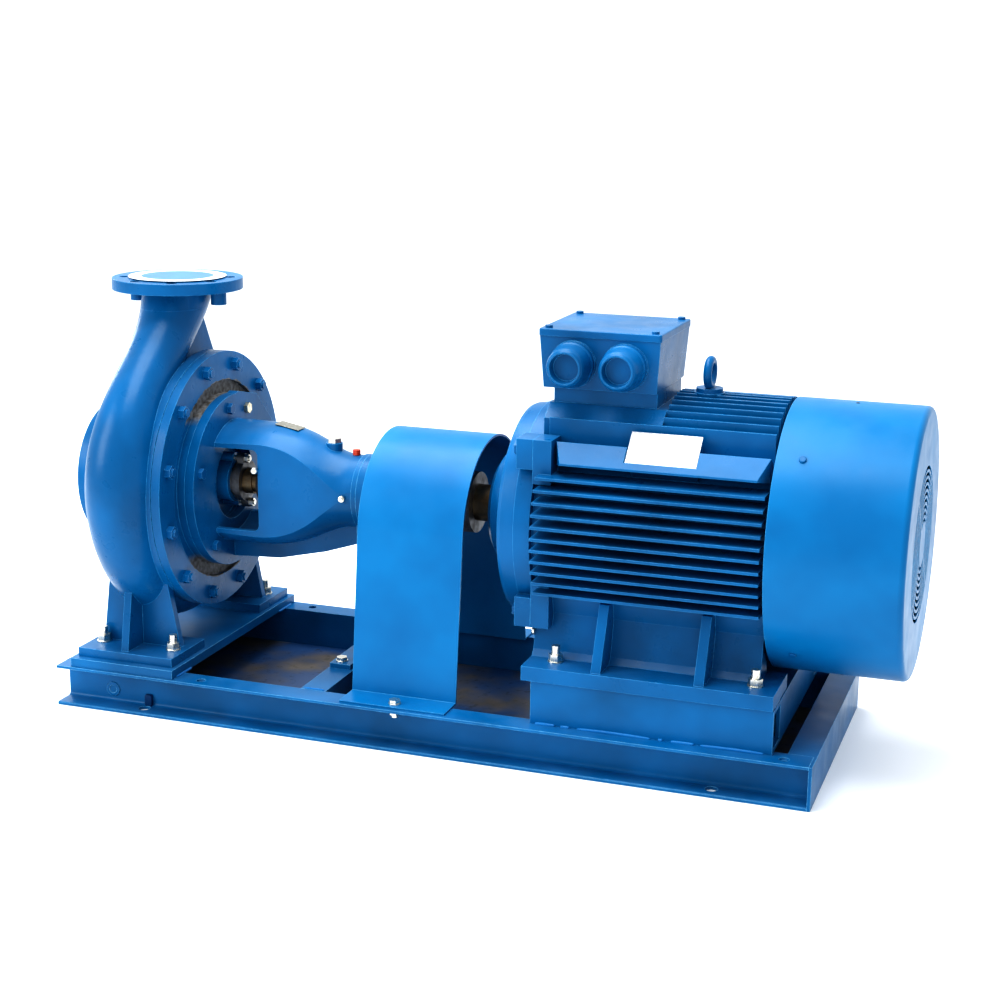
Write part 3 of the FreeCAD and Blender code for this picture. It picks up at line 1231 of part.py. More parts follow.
save("fan_cowl", cowl.cut(hollow).cut(slots + screw_bores))
screw_shape = up_rod(cowl_screw * 0.85, 0, cowl_screw / 2).fuse(up_rod(cowl_screw / 2, -cowl_sheet - 12, 1))
screw_shape = screw_shape.makeFillet(1.2, [e for e in screw_shape.Edges if e.CenterOfMass.z > cowl_screw / 2 - 0.1
                                           and len(e.Vertexes) == 1])
cowl_fasteners = [radial(screw_shape, angle, cowl_radius) for angle in (45, 135, 225, 315)]


# Terminal box
def tapered_box(inset, bottom, top):
    """Box whose sides lean in towards the bottom by the draft."""
    def frame(z, draft):
        x0 = at(box_x0) + inset + draft
        x1 = at(box_x1) - inset - draft
        y = box_half_y - inset - draft
        return Part.makePolygon([Vector(x0, -y, z), Vector(x1, -y, z), Vector(x1, y, z), Vector(x0, y, z), Vector(x0, -y, z)])
    return Part.makeLoft([frame(bottom, box_draft), frame(top, 0)], True, True)


floor_z = shaft_z + box_bottom
rim_z = shaft_z + box_top
corners = [(sx, sy) for sx in (-1, 1) for sy in (-1, 1)]
box_mid = at((box_x0 + box_x1) / 2)
screw_reach_x = (box_x1 - box_x0) / 2 - lid_screw_inset
screw_reach_y = box_half_y - lid_screw_inset
posts = [rod_z(lid_screw + 2, floor_z + 1, rim_z, box_mid + sx * screw_reach_x, sy * screw_reach_y) for sx, sy in corners]
box_outer = tapered_box(0, floor_z, rim_z)
terminal = box_outer.cut(tapered_box(box_wall, floor_z + box_wall, rim_z + reach))
gland_pads = [rod_y(gland_base_radius + 1, -box_half_y - gland_pad, box_wall - box_half_y + box_draft, at(x),
                    shaft_z + gland_z) for x in gland_x]
terminal = joined([terminal] + gland_pads + [post.common(box_outer) for post in posts])
lid_threads = [rod_z(lid_screw / 2, rim_z - 20, rim_z + reach, box_mid + sx * screw_reach_x, sy * screw_reach_y)
               for sx, sy in corners]
gland_bore = gland_mouth_radius - 2
gland_holes = [rod_y(gland_bore, -box_half_y - reach, -box_half_y + 4 * reach, at(x), shaft_z + gland_z) for x in gland_x]
floor_way = box(at(neck_x0 + 30), at(neck_x1 - 30), -30, 30, floor_z - reach, floor_z + box_wall + 1)
save("terminal_box", terminal.cut(lid_threads + gland_holes + [floor_way]))
lid = box(at(box_x0) - lid_overhang, at(box_x1) + lid_overhang, -box_half_y - lid_overhang, box_half_y + lid_overhang,
          rim_z, rim_z + lid_thickness)
lid = lid.makeFillet(4, [e for e in lid.Edges if abs(e.Length - lid_thickness) < 0.01])
lid = lid.makeFillet(2, [e for e in lid.Edges if e.CenterOfMass.z > rim_z + lid_thickness - 0.01])
lid_holes = [rod_z(lid_screw / 2 + seat_clearance, rim_z - reach, rim_z + 3 * reach, box_mid + sx * screw_reach_x,
                   sy * screw_reach_y) for sx, sy in corners]
save("terminal_lid", lid.cut(lid_holes))
lid_top = rim_z + lid_thickness
lid_fasteners = [slotted_screw(lid_screw, lid_thickness + 16,
                               Vector(box_mid + sx * screw_reach_x, sy * screw_reach_y, lid_top), Z_AXIS)
                 for sx, sy in corners]
save("motor_screws", cowl_fasteners + lid_fasteners)
wall_y = box_half_y + gland_pad


def gland(x):
    """Cable gland body turned about its own axis, with a mouth that a blanking disc closes."""
    round_back = gland_length - 7
    profile = [(0, gland_bore), (0, gland_base_radius), (9, gland_base_radius), (11, gland_base_radius - 1.5),
               (round_back, gland_front_radius + 2.5), (round_back + 4, gland_front_radius + 1),
               (gland_length, gland_front_radius - 2), (gland_length, gland_mouth_radius), (gland_length - 12, gland_bore)]
    points = [Vector(r, 0, d) for d, r in profile]
    shape = Part.Face(Part.makePolygon(points + points[:1])).revolve(Vector(0, 0, 0), Z_AXIS, 360)
    return placed(shape, Vector(x, -wall_y, shaft_z + gland_z), -Y_AXIS)


blank = up_rod(gland_bore, gland_length - 17, gland_length - 13)
blanks = [placed(blank, Vector(at(x), -wall_y, shaft_z + gland_z), -Y_AXIS) for x in gland_x]
save("cable_glands", [gland(at(x)) for x in gland_x] + blanks)
board = box(box_mid - 42, box_mid + 42, 34, 64, floor_z + box_wall, floor_z + box_wall + 16)
board_studs = [rod_z(4, floor_z + box_wall + 15, floor_z + box_wall + 30, box_mid + dx, 49) for dx in (-28, 0, 28)]
save("terminal_board", joined([board] + board_studs))

# Lifting eye
eye_z = shaft_z + eye_collar_z
ring_z = eye_z + 5 + eye_ring + eye_tube - 2
eye = Part.makeTorus(eye_ring, eye_tube, Vector(at(eye_x), 0, ring_z), X_AXIS)
collar = up_rod(eye_collar, 0, 6).fuse(up_rod(8, -20, 1))
save("lifting_eye", joined([eye, placed(collar, Vector(at(eye_x), 0, eye_z), Z_AXIS)]))

# Fasteners of the feet
pump_fasteners = []
for sx in (-1, 1):
    for sy in (-1, 1):
        seat = Vector(at(sx * pump_bolt_x), sy * pump_bolt_y, plate_top + pump_foot_thickness)
        pump_fasteners += through_stud(pump_bolt, pump_foot_thickness + pump_plate_thickness, foot_stud_rise, seat)
motor_fasteners = []
for x in (motor_bolt_start, motor_bolt_start + motor_bolt_pitch):
    for sy in (-1, 1):
        seat = Vector(at(x), sy * motor_bolt_y, mount_z + motor_foot_thickness)
        motor_fasteners += through_stud(motor_bolt, motor_foot_thickness + motor_shim + riser_wall, foot_stud_rise, seat)
save("foot_bolts", pump_fasteners + motor_fasteners)
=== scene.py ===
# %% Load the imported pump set
import math
import bmesh
import bpy
import numpy as np
from mathutils import Matrix, Vector


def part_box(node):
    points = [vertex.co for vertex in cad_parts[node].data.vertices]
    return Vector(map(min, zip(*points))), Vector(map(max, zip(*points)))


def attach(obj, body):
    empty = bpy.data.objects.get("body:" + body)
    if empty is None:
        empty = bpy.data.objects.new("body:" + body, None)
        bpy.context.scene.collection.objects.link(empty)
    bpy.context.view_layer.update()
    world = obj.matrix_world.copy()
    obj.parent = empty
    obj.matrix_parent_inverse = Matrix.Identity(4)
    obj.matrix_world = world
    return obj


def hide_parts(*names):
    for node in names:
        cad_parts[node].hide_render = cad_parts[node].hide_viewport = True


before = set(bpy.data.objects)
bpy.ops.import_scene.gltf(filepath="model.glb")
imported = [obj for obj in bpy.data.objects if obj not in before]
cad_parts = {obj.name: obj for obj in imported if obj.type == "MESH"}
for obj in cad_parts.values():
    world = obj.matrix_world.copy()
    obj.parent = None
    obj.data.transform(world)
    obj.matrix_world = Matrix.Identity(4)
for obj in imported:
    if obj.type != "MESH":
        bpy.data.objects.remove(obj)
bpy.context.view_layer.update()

# %% [markdown]
# The colours are written as the sRGB hex codes that a paint shop's colour chart shows. Blender mixes
# light in linear values, so one function converts every code. Typing the hex value straight into a
# shader socket would make each colour too pale.

# %% Colour codes to linear values
def linear(code):
    """Each channel c, from 0 to 1: c / 12.92 when dark, else ((c + 0.055) / 1.055) to the power 2.4."""
    channels = [int(code[i:i + 2], 16) / 255 for i in (0, 2, 4)]
    return tuple(c / 12.92 if c <= 0.04045 else ((c + 0.055) / 1.055) ** 2.4 for c in channels) + (1.0,)


print("machine blue is", [round(c, 3) for c in linear("0A66B8")])

# %% [markdown]
# A material is a small network of nodes. One function adds a node, sets its sockets or options and
# plugs others into it, so each finish below reads as a recipe. Every pattern reads the Object
# coordinates, which are metres here, so its scale is 1000 over its size in millimetres.

# %% One function for nodes
def add(mat, kind, settings=None, links=None):
    """Adds one node. Settings name sockets or options, links name the node or output that feeds a socket."""
    node = mat.node_tree.nodes.new("ShaderNode" + kind)
    for key, value in (settings or {}).items():
        if isinstance(key, int) or key in node.inputs:
            node.inputs[key].default_value = value
        else:
            setattr(node, key, value)
    for key, source in (links or {}).items():
        single = isinstance(source, bpy.types.NodeSocket)
        output = source if single else next(o for o in source.outputs if o.enabled)
        mat.node_tree.links.new(output, node.inputs[key])
    return node


def blank_material(name):
    """An empty node material and its coordinates in metres."""
    mat = bpy.data.materials.new(name)
    mat.use_nodes = True
    mat.node_tree.nodes.clear()
    return mat, add(mat, "TexCoord").outputs["Object"]


materials = {}
print("node function ready")

# %% [markdown]
# ## Machine enamel
# Pumps and motors of this kind are grey-iron castings, blasted, primed and sprayed with an alkyd machine
# enamel. The eye sees a deep blue with a clear gloss, the faint pebbles of the sand mould under it, and
# pale edges, partly thin paint that wears there and partly a painted highlight where the gloss catches
# the light. A photograph could be wrapped round the casting, but it would stretch on the scroll, so the
# pebbles come from noise in three dimensions. The Bevel node gives the normal of a rounded edge, and where
# it turns away from the flat normal the colour is painted paler, for wear and as a painted highlight.

# %% Enamel recipe
def enamel(name, colour, deep, pale, pebble_mm, pebble_height_mm, dust, shine, edge_mm=1.6, bare=None):
    """Paint: two close tones in broad clouds, pale edges that are part wear and part painted highlight, mould
    pebbles and a film of dust on top.

    With bare, a function that gives a mask, the paint stops there and shows another tone and sheen."""
    mat, place = blank_material(name)
    rounded = add(mat, "Bevel", {"samples": 4, "Radius": edge_mm / 1000})
    facing = add(mat, "NewGeometry")
    turn = add(mat, "VectorMath", {"operation": "DOT_PRODUCT"}, {0: rounded, 1: facing.outputs["Normal"]})
    edge = add(mat, "MapRange", {"From Min": 0.995, "From Max": 0.80}, {"Value": turn})
    clouds = add(mat, "TexNoise", {"Scale": 1000 / 140, "Detail": 3.0}, {"Vector": place})
    cloud_share = add(mat, "MapRange", {"From Min": 0.35, "From Max": 0.65}, {"Value": clouds})
    tint = add(mat, "Mix", {"data_type": "RGBA", 6: linear(deep), 7: linear(colour)}, {0: cloud_share})
    chip_and_glint_noise = add(mat, "TexNoise", {"Scale": 1000 / 9, "Detail": 4.0}, {"Vector": place})
    chip_and_glint_share = add(mat, "MapRange", {"From Min": 0.35, "From Max": 0.65, "To Min": 0.4, "To Max": 0.95},
                     {"Value": chip_and_glint_noise})
    # Wear and painted highlight together: the edge mask, broken up by noise, paints the edges paler.
    wear_and_highlight = add(mat, "Math", {"operation": "MULTIPLY"}, {0: edge, 1: chip_and_glint_share})
    tint = add(mat, "Mix", {"data_type": "RGBA", 7: linear(pale)}, {0: wear_and_highlight, 6: tint})
    upward = add(mat, "SeparateXYZ", None, {0: facing.outputs["Normal"]}).outputs["Z"]
    ledge = add(mat, "MapRange", {"From Min": 0.55, "From Max": 1.0, "To Max": dust}, {"Value": upward})
    drift = add(mat, "TexNoise", {"Scale": 1000 / 60, "Detail": 5.0}, {"Vector": place})
    drift_share = add(mat, "MapRange", {"From Min": 0.35, "From Max": 0.7}, {"Value": drift})
    film = add(mat, "Math", {"operation": "MULTIPLY"}, {0: ledge, 1: drift_share})
    tint = add(mat, "Mix", {"data_type": "RGBA", 7: linear("8FB0D0")}, {0: film, 6: tint})
    flow = add(mat, "TexNoise", {"Scale": 1000 / 30, "Detail": 4.0}, {"Vector": place})
    gloss = add(mat, "MapRange", {"From Min": 0.3, "From Max": 0.7, "To Min": shine, "To Max": shine + 0.08},
                {"Value": flow})
    rough = add(mat, "Math", {"operation": "ADD"}, {0: gloss, 1: film})
    pebbles = add(mat, "TexNoise", {"Scale": 1000 / pebble_mm, "Detail": 2.0}, {"Vector": place})
    cast = add(mat, "Bump", {"Distance": pebble_height_mm / 1000}, {"Height": pebbles, "Normal": rounded})
    peel = add(mat, "TexNoise", {"Scale": 1000 / 5, "Detail": 1.0}, {"Vector": place})
    skin = add(mat, "Bump", {"Distance": 0.04 / 1000}, {"Height": peel, "Normal": cast})
    feeds = {"Base Color": tint, "Roughness": rough, "Normal": skin}
    if bare:
        mask, tone, sheen, metallic = bare(mat, place)
        feeds["Base Color"] = add(mat, "Mix", {"data_type": "RGBA"}, {0: mask, 6: tint, 7: tone})
        feeds["Roughness"] = add(mat, "Mix", {3: sheen}, {0: mask, 2: rough})
        if metallic:
            feeds["Metallic"] = mask
    shader = add(mat, "BsdfPrincipled", {"IOR": 1.5, "Specular IOR Level": 0.2}, feeds)
    add(mat, "OutputMaterial", None, {"Surface": shader})
    materials[name] = mat


# Brushed-smooth sand casting under gloss enamel: broad soft lights with a faint pebble in them.
enamel("enamel_on_castings", "006094", "004E7A", "4CA4DC", 16, 0.30, 0.06, 0.26)
# Folded sheet steel under the same enamel: flatter, a little brighter, with almost no grain.
enamel("enamel_on_sheet", "006CA0", "006092", "58B0E4", 60, 0.20, 0.04, 0.30)
# Hot-rolled channel and plate: slow waves from the rolls, and the palest edges of the set, part wear and part
# painted highlight.
enamel("enamel_on_rolled_steel", "006296", "00507C", "7CC4EE", 40, 0.20, 0.08, 0.28)
# Bolts and screws painted over in place: small crisp edges with pale rims, part wear and part painted
# highlight.
enamel("enamel_on_bolts", "006094", "004C7A", "7CB8E2", 6, 0.08, 0.05, 0.26, 0.8)
# The drain plug's pressed steel: darker and glossier, because it was sprayed once only.
enamel("enamel_on_blanks", "004E84", "003C66", "3E8AC2", 30, 0.10, 0.04, 0.16)
# Weld metal under enamel: lumpy, in a paler blue that is a painted highlight, so every bead reads as a bright
# line.
enamel("enamel_on_weld", "1C74B0", "085E98", "8CC0E4", 5, 0.12, 0.05, 0.22, 1.0)
# Painted shade for the drain notch: a dark, rather dull navy in place of the shadow in the recess.
enamel("enamel_in_shadow", "003864", "002C50", "0E4A7C", 20, 0.15, 0.02, 0.35)
print("enamels:", sorted(materials))

# %% [markdown]
# ## Places that the paint leaves bare
# In the recess of the casing's cover the sprayer missed two crescents, above and below the bracket, and
# the rusty grey of cast iron shows. One screw of the bracket's flange stayed unpainted as well, because
# it moves when the pump is taken apart. Both are the same paint with a mask worked out from the place:
# the distance to the shaft for the crescents, and to the screw's axis for the screw.

# %% Paint with bare places
shaft_z = 327.0
volute_x = -469.0


def bare_crescents(mat, place):
    """Mask: 1 from 131.5 to 156.5 mm off the shaft and over 106 mm above or below it, with a ragged edge."""
    centred = add(mat, "Mapping", {"Location": (0, 0, -shaft_z / 1000), "Scale": (0, 1, 1)},
                  {"Vector": place})
    away = add(mat, "VectorMath", {"operation": "LENGTH"}, {0: centred})
    ragged = add(mat, "TexNoise", {"Scale": 1000 / 14, "Detail": 4.0}, {"Vector": place})
    shake = add(mat, "MapRange", {"To Min": -0.006, "To Max": 0.006}, {"Value": ragged})
    distance = add(mat, "Math", {"operation": "ADD"}, {0: away, 1: shake})
    ring_radius, half_width = 0.144, 0.0125
    ring = add(mat, "Math", {"operation": "COMPARE", 1: ring_radius, 2: half_width}, {0: distance})
    height = add(mat, "SeparateXYZ", None, {0: centred}).outputs["Z"]
    off = add(mat, "Math", {"operation": "ABSOLUTE"}, {0: height})
    painted_to, bare_from = 0.100, 0.112
    span = add(mat, "MapRange", {"From Min": painted_to, "From Max": bare_from}, {"Value": off})
    mask = add(mat, "Math", {"operation": "MULTIPLY"}, {0: ring, 1: span})
    rust = add(mat, "TexNoise", {"Scale": 1000 / 8, "Detail": 5.0}, {"Vector": place})
    rust_share = add(mat, "MapRange", {"From Min": 0.35, "From Max": 0.65}, {"Value": rust})
    tone = add(mat, "Mix", {"data_type": "RGBA", 6: linear("77787A"), 7: linear("4A4844")},
               {0: rust_share})
    return mask, tone, 0.62, False


def bare_jack_screw(mat, place):
    """Mask that is 1 within 13 mm of the jack screw's axis."""
    axis_y, axis_z, reach = 44.0, shaft_z + 106.0, 0.013
    centred = add(mat, "Mapping", {"Location": (0, -axis_y / 1000, -axis_z / 1000), "Scale": (0, 1, 1)},
                  {"Vector": place})
    away = add(mat, "VectorMath", {"operation": "LENGTH"}, {0: centred})
    mask = add(mat, "Math", {"operation": "LESS_THAN", 1: reach}, {0: away})
    stain = add(mat, "TexNoise", {"Scale": 1000 / 7, "Detail": 4.0}, {"Vector": place})
    stain_share = add(mat, "MapRange", {"From Min": 0.4, "From Max": 0.75}, {"Value": stain})
    tone = add(mat, "Mix", {"data_type": "RGBA", 6: linear("DCD6C2"), 7: linear("A79A70")}, {0: stain_share})
    return mask, tone, 0.28, True


enamel("enamel_round_bare_iron", "006094", "004E7A", "4CA4DC", 16, 0.30, 0.06, 0.26, bare=bare_crescents)
enamel("enamel_and_bare_screw", "006094", "004C7A", "7CB8E2", 6, 0.08, 0.05, 0.26, 0.8, bare_jack_screw)
print("paint with bare places ready")

# %% [markdown]
# ## Bare metals
# Zinc-plated fasteners are passivated yellow, so they look like pale straw with a soft shine. Turned
# shafts show fine rings from the tool and a film of brown oil, and ground bearing rings are nearly
# mirrors. A metal has a metallic value of 1 and its colour is the colour of its mirror image. The rings
# are bands across the shaft's axis, a few times wider than the real feed marks so that they show.

# %% Bare metal recipe
def metal(name, colour, stain, shine, grain_mm, height_mm, stained, rings_mm=None, edge_mm=0.6):
    """Metal in two tones: duller stains of one grain size, and grain or turned rings as relief."""
    mat, place = blank_material(name)
    rounded = add(mat, "Bevel", {"samples": 4, "Radius": edge_mm / 1000})
    patches = add(mat, "TexNoise", {"Scale": 1000 / grain_mm, "Detail": 5.0, "Roughness": 0.6},
                  {"Vector": place})
    share = add(mat, "MapRange", {"From Min": 0.4, "From Max": 0.75, "To Max": stained}, {"Value": patches})
    tint = add(mat, "Mix", {"data_type": "RGBA", 6: linear(colour), 7: linear(stain)}, {0: share})
    rough = add(mat, "MapRange", {"To Min": shine, "To Max": shine + 0.3}, {"Value": share})
    if rings_mm:
        bands = add(mat, "TexWave", {"bands_direction": "X", "Scale": 1000 / rings_mm / 20,
                                     "Distortion": 0.4, "Detail": 2.0}, {"Vector": place})
        relief = bands.outputs["Fac"]
    else:
        relief = add(mat, "TexNoise", {"Scale": 2000 / grain_mm, "Detail": 3.0}, {"Vector": place})
    grain = add(mat, "Bump", {"Distance": height_mm / 1000}, {"Height": relief, "Normal": rounded})
    shader = add(mat, "BsdfPrincipled", {"Metallic": 1.0},
                 {"Base Color": tint, "Roughness": rough, "Normal": grain})
    add(mat, "OutputMaterial", None, {"Surface": shader})
    materials[name] = mat


metal("zinc_plated_steel", "E4E2DA", "B0A688", 0.26, 7, 0.05, 0.5)
metal("turned_shaft_steel", "8C7B62", "5A4632", 0.34, 18, 0.04, 0.8, 1.6)
metal("ground_bearing_steel", "C9CACC", "A9ABB0", 0.12, 30, 0.01, 0.2)
metal("machined_grey_iron", "7D7F82", "55504A", 0.45, 12, 0.08, 0.7, 2.2)
metal("cast_bronze", "B08A50", "7A5A30", 0.38, 10, 0.10, 0.6)
metal("electrical_sheet_stack", "77787C", "4C4D52", 0.42, 20, 0.10, 0.4, 1.5)
metal("enamelled_copper_wire", "A8552A", "6E3216", 0.30, 8, 0.30, 0.5, 2.0)
metal("brushed_aluminium_plate", "A4A7AC", "8A8E96", 0.50, 4, 0.02, 0.5)
metal("etched_steel_plate", "A8A69C", "6F6C62", 0.36, 5, 0.03, 0.7)
print("metals ready,", len(materials), "materials")

# %% [markdown]
# ## Rubber, plastic and fibre
# The seals, the coupling's spider, the fan and the vent cap are moulded, and the gland is packed with
# graphited braid. Most of these hide inside, but a section or a moving view finds them. Each has two
# close tones and one grain size, because a moulded surface copies the grain of its steel mould.

# %% Moulded recipe
def moulded(name, colour, second, shine, grain_mm, height_mm, ior):
    """A moulded or woven material: two close tones and one grain size for tone, sheen and relief."""
    mat, place = blank_material(name)
    grain = add(mat, "TexNoise", {"Scale": 1000 / grain_mm, "Detail": 4.0}, {"Vector": place})
    share = add(mat, "MapRange", {"From Min": 0.3, "From Max": 0.7}, {"Value": grain})
    tint = add(mat, "Mix", {"data_type": "RGBA", 6: linear(colour), 7: linear(second)}, {0: share})
    rough = add(mat, "MapRange", {"To Min": shine, "To Max": shine + 0.15}, {"Value": share})
    relief = add(mat, "Bump", {"Distance": height_mm / 1000}, {"Height": grain})
    shader = add(mat, "BsdfPrincipled", {"IOR": ior},
                 {"Base Color": tint, "Roughness": rough, "Normal": relief})
    add(mat, "OutputMaterial", None, {"Surface": shader})
    materials[name] = mat


moulded("nitrile_rubber", "161616", "232323", 0.55, 5, 0.08, 1.52)
moulded("polyurethane_spider", "8E1A10", "6E120A", 0.35, 12, 0.05, 1.5)
moulded("fibre_gasket", "4E5648", "3C4238", 0.75, 3, 0.10, 1.5)
moulded("graphited_packing", "2E2C28", "46423A", 0.6, 4, 0.40, 1.5)
moulded("glass_filled_nylon", "1B1D20", "26282C", 0.45, 6, 0.08, 1.53)
moulded("phenolic_board", "2A211A", "3A2D22", 0.4, 9, 0.06, 1.6)
moulded("polyethylene_cap", "C03A14", "A82E0E", 0.3, 10, 0.05, 1.51)
print("moulded and woven finishes ready,", len(materials), "materials")

# %% [markdown]
# ## Drip tray
# The tray between the rails is bare hot-rolled sheet that caught blue overspray and then wore. Its
# scale is grey-brown, with clouds of thin blue and darker scuffs. Three noises of different sizes lie
# over each other, because real dirt has no single size.

# %% Worn tray sheet
tray, place = blank_material("overspray_on_mill_scale")
scale = add(tray, "TexNoise", {"Scale": 1000 / 45, "Detail": 5.0}, {"Vector": place})
scale_share = add(tray, "MapRange", {"From Min": 0.3, "From Max": 0.7}, {"Value": scale})
tone = add(tray, "Mix", {"data_type": "RGBA", 6: linear("4E4B48"), 7: linear("6E665C")}, {0: scale_share})
mist = add(tray, "TexNoise", {"Scale": 1000 / 110, "Detail": 4.0}, {"Vector": place})
mist_share = add(tray, "MapRange", {"From Min": 0.38, "From Max": 0.58, "To Max": 0.92}, {"Value": mist})
tone = add(tray, "Mix", {"data_type": "RGBA", 7: linear("1C4A7A")}, {0: mist_share, 6: tone})
scuffs = add(tray, "TexNoise", {"Scale": 1000 / 16, "Detail": 6.0, "Roughness": 0.7}, {"Vector": place})
scuff_share = add(tray, "MapRange", {"From Min": 0.56, "From Max": 0.70, "To Max": 0.7}, {"Value": scuffs})
tone = add(tray, "Mix", {"data_type": "RGBA", 7: linear("302A25")}, {0: scuff_share, 6: tone})
rough = add(tray, "MapRange", {"To Min": 0.42, "To Max": 0.75}, {"Value": scuff_share})
grit = add(tray, "TexNoise", {"Scale": 1000 / 10, "Detail": 5.0}, {"Vector": place})
relief = add(tray, "Bump", {"Distance": 0.2 / 1000}, {"Height": grit})
shader = add(tray, "BsdfPrincipled", {"IOR": 1.6}, {"Base Color": tone, "Roughness": rough, "Normal": relief})
add(tray, "OutputMaterial", None, {"Surface": shader})
materials["overspray_on_mill_scale"] = tray
print("tray finish ready")

# %% [markdown]
# ## Dressing the CAD pieces
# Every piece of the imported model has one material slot. A dictionary from finish to pieces is easier to
# check by eye than sixty separate lines, and the loop that follows stops if a piece is left out.

# %% Give each CAD piece its finish
finish_of = {
    "enamel_on_castings": ["volute_casing", "bearing_bracket", "bearing_end_cover", "motor_housing",
                           "drive_end_shield", "fan_end_shield", "terminal_box", "terminal_lid",
                           "cable_glands"],
    "enamel_round_bare_iron": ["casing_cover"],
    "enamel_on_sheet": ["coupling_guard", "fan_cowl"],
    "enamel_on_rolled_steel": ["side_rails", "end_rails", "cross_member", "pump_plate", "motor_risers",
                               "riser_tie", "support_foot"],
    "enamel_on_bolts": ["cover_studs", "end_cover_screws", "motor_screws", "lifting_eye"],
    "enamel_and_bare_screw": ["flange_bolts"],
    "enamel_on_blanks": ["drain_plug"],
    "overspray_on_mill_scale": ["drip_tray"],
    "zinc_plated_steel": ["gland_studs", "bearing_fittings", "frame_bolts", "foot_bolts", "motor_shims"],
    "turned_shaft_steel": ["pump_shaft", "motor_shaft", "shaft_sleeve", "pump_key", "motor_key"],
    "ground_bearing_steel": ["pump_inner_rings", "motor_inner_rings", "bearing_outer_rings",
                             "pump_bearing_balls", "motor_bearing_balls"],
    "machined_grey_iron": ["gland_follower", "impeller", "pump_coupling_half", "motor_coupling_half"],
    "cast_bronze": ["wear_ring", "impeller_nut"],
    "electrical_sheet_stack": ["rotor_core", "stator_core"],
    "enamelled_copper_wire": ["windings"],
    "brushed_aluminium_plate": ["motor_nameplate"],
    "etched_steel_plate": ["pump_nameplate"],
    "nitrile_rubber": ["oil_seals", "deflector"],
    "polyurethane_spider": ["coupling_spider"],
    "fibre_gasket": ["casing_gasket"],
    "graphited_packing": ["packing_rings"],
    "glass_filled_nylon": ["fan"],
    "phenolic_board": ["terminal_board"],
    "polyethylene_cap": ["breather_cap"],
}
dressed = set()
for finish, names in finish_of.items():
    for name in names:
        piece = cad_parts[name]
        piece.data.materials.clear()
        piece.data.materials.append(materials[finish])
        dressed.add(name)
assert dressed == set(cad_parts), sorted(set(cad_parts) ^ dressed)
print(len(dressed), "CAD pieces dressed in", len(finish_of), "finishes")

# %% [markdown]
# ## Surfaces from arrays
# The pieces that the CAD model leaves out are thin or soft-edged: weld beads, labels, screws. Each one
# is a surface over a grid of two parameters, worked out for all points at once, so a change of one
# number reshapes the whole piece. The next cell turns such grids into one mesh that rides on a body.

# %% Grid of points to piece
def grid_faces(rows, columns, wrap, start):
    """Quads of one grid: point (i, j) joins (i, j+1), (i+1, j+1) and (i+1, j).

    With wrap the last column meets the first."""
    i, j = np.meshgrid(np.arange(rows - 1), np.arange(columns if wrap else columns - 1), indexing="ij")
    following = (j + 1) % columns
    quads = np.stack([i * columns + j, i * columns + following, (i + 1) * columns + following,
                      (i + 1) * columns + j], -1)
    return quads.reshape(-1, 4) + start


def closed_mesh(name, grids, caps=False, sharp=None):
    """One mesh from point grids in millimetres that wrap round, with doubles merged and normals out.

    With caps both ends are closed. Sharp is the angle in degrees above which an edge stays crisp."""
    points = np.concatenate([g.reshape(-1, 3) for g in grids]) / 1000
    starts = np.cumsum([0] + [g.shape[0] * g.shape[1] for g in grids[:-1]])
    faces = [f for g, s in zip(grids, starts) for f in grid_faces(g.shape[0], g.shape[1], True, s).tolist()]
    if caps:
        for g, s in zip(grids, starts):
            rows, columns = g.shape[:2]
            faces += [list(range(s, s + columns)), list(range(s + (rows - 1) * columns, s + rows * columns))]
    mesh = bpy.data.meshes.new(name)
    mesh.from_pydata(points.tolist(), [], faces)
    shell = bmesh.new()
    shell.from_mesh(mesh)
    bmesh.ops.remove_doubles(shell, verts=shell.verts, dist=1e-6)
    bmesh.ops.recalc_face_normals(shell, faces=shell.faces)
    shell.to_mesh(mesh)
    shell.free()
    mesh.shade_smooth()
    if sharp:
        mesh.set_sharp_from_angle(angle=math.radians(sharp))
    return mesh


def new_piece(mesh, finish, body="root"):
    """An object at the origin for a finished mesh, with its finish and its body."""
    piece = bpy.data.objects.new(mesh.name, mesh)
    bpy.context.scene.collection.objects.link(piece)
    mesh.materials.clear()
    mesh.materials.append(materials[finish])
    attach(piece, body)
    print(mesh.name, len(mesh.polygons), "faces")
    return piece


print("grid helpers ready")

# %% [markdown]
# ## Rails of the base
# The base is welded from rolled channel. In the photograph the long rails run square-cut to both ends
# with their flanges outwards, and the end rails stand between them with their flat backs flush at the
# ends and their flanges inwards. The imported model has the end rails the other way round, so these four
# are drawn again in the same place. A channel is one outline, with round roots where flange meets web,
# carried along a straight path.

# %% Channel section and its path
rail_height, rail_flange, rail_wall, rail_root = 63.0, 40.0, 4.8, 5.0
base_half_length, base_half_width, web_y = 580.0, 215.0, 175.0
crisp_angle = 40


def channel_outline(arc_points=6):
    """Closed outline (u, v): u goes out from the flat back, v up.

    The roots are quarter circles: centre + root * (cos a, sin a)."""
    a = np.radians(np.linspace(0, 90, arc_points))
    inner = rail_wall + rail_root
    low = np.stack([inner - rail_root * np.sin(a), inner - rail_root * np.cos(a)], -1)
    high = low[::-1] * [1, -1] + [0, rail_height]
    tip = 1.2
    low_toe = [(rail_flange, 0), (rail_flange, rail_wall - tip), (rail_flange - tip, rail_wall)]
    high_toe = [(u, rail_height - v) for u, v in reversed(low_toe)]
    return np.concatenate([[(0, 0)], low_toe, low, high, high_toe, [(0, rail_height)]])


def carried(outline, start, end, outward):
    """Grid of an outline carried along a line: point = start + t * (end - start) + u * outward + v * up."""
    start, end, outward = (np.array(v, float) for v in (start, end, outward))
    t = np.array([0.0, 1.0])[:, None, None]
    flat = outline[:, :1] * outward + outline[:, 1:] * np.array([0, 0, 1.0])
    return start + t * (end - start) + flat[None]


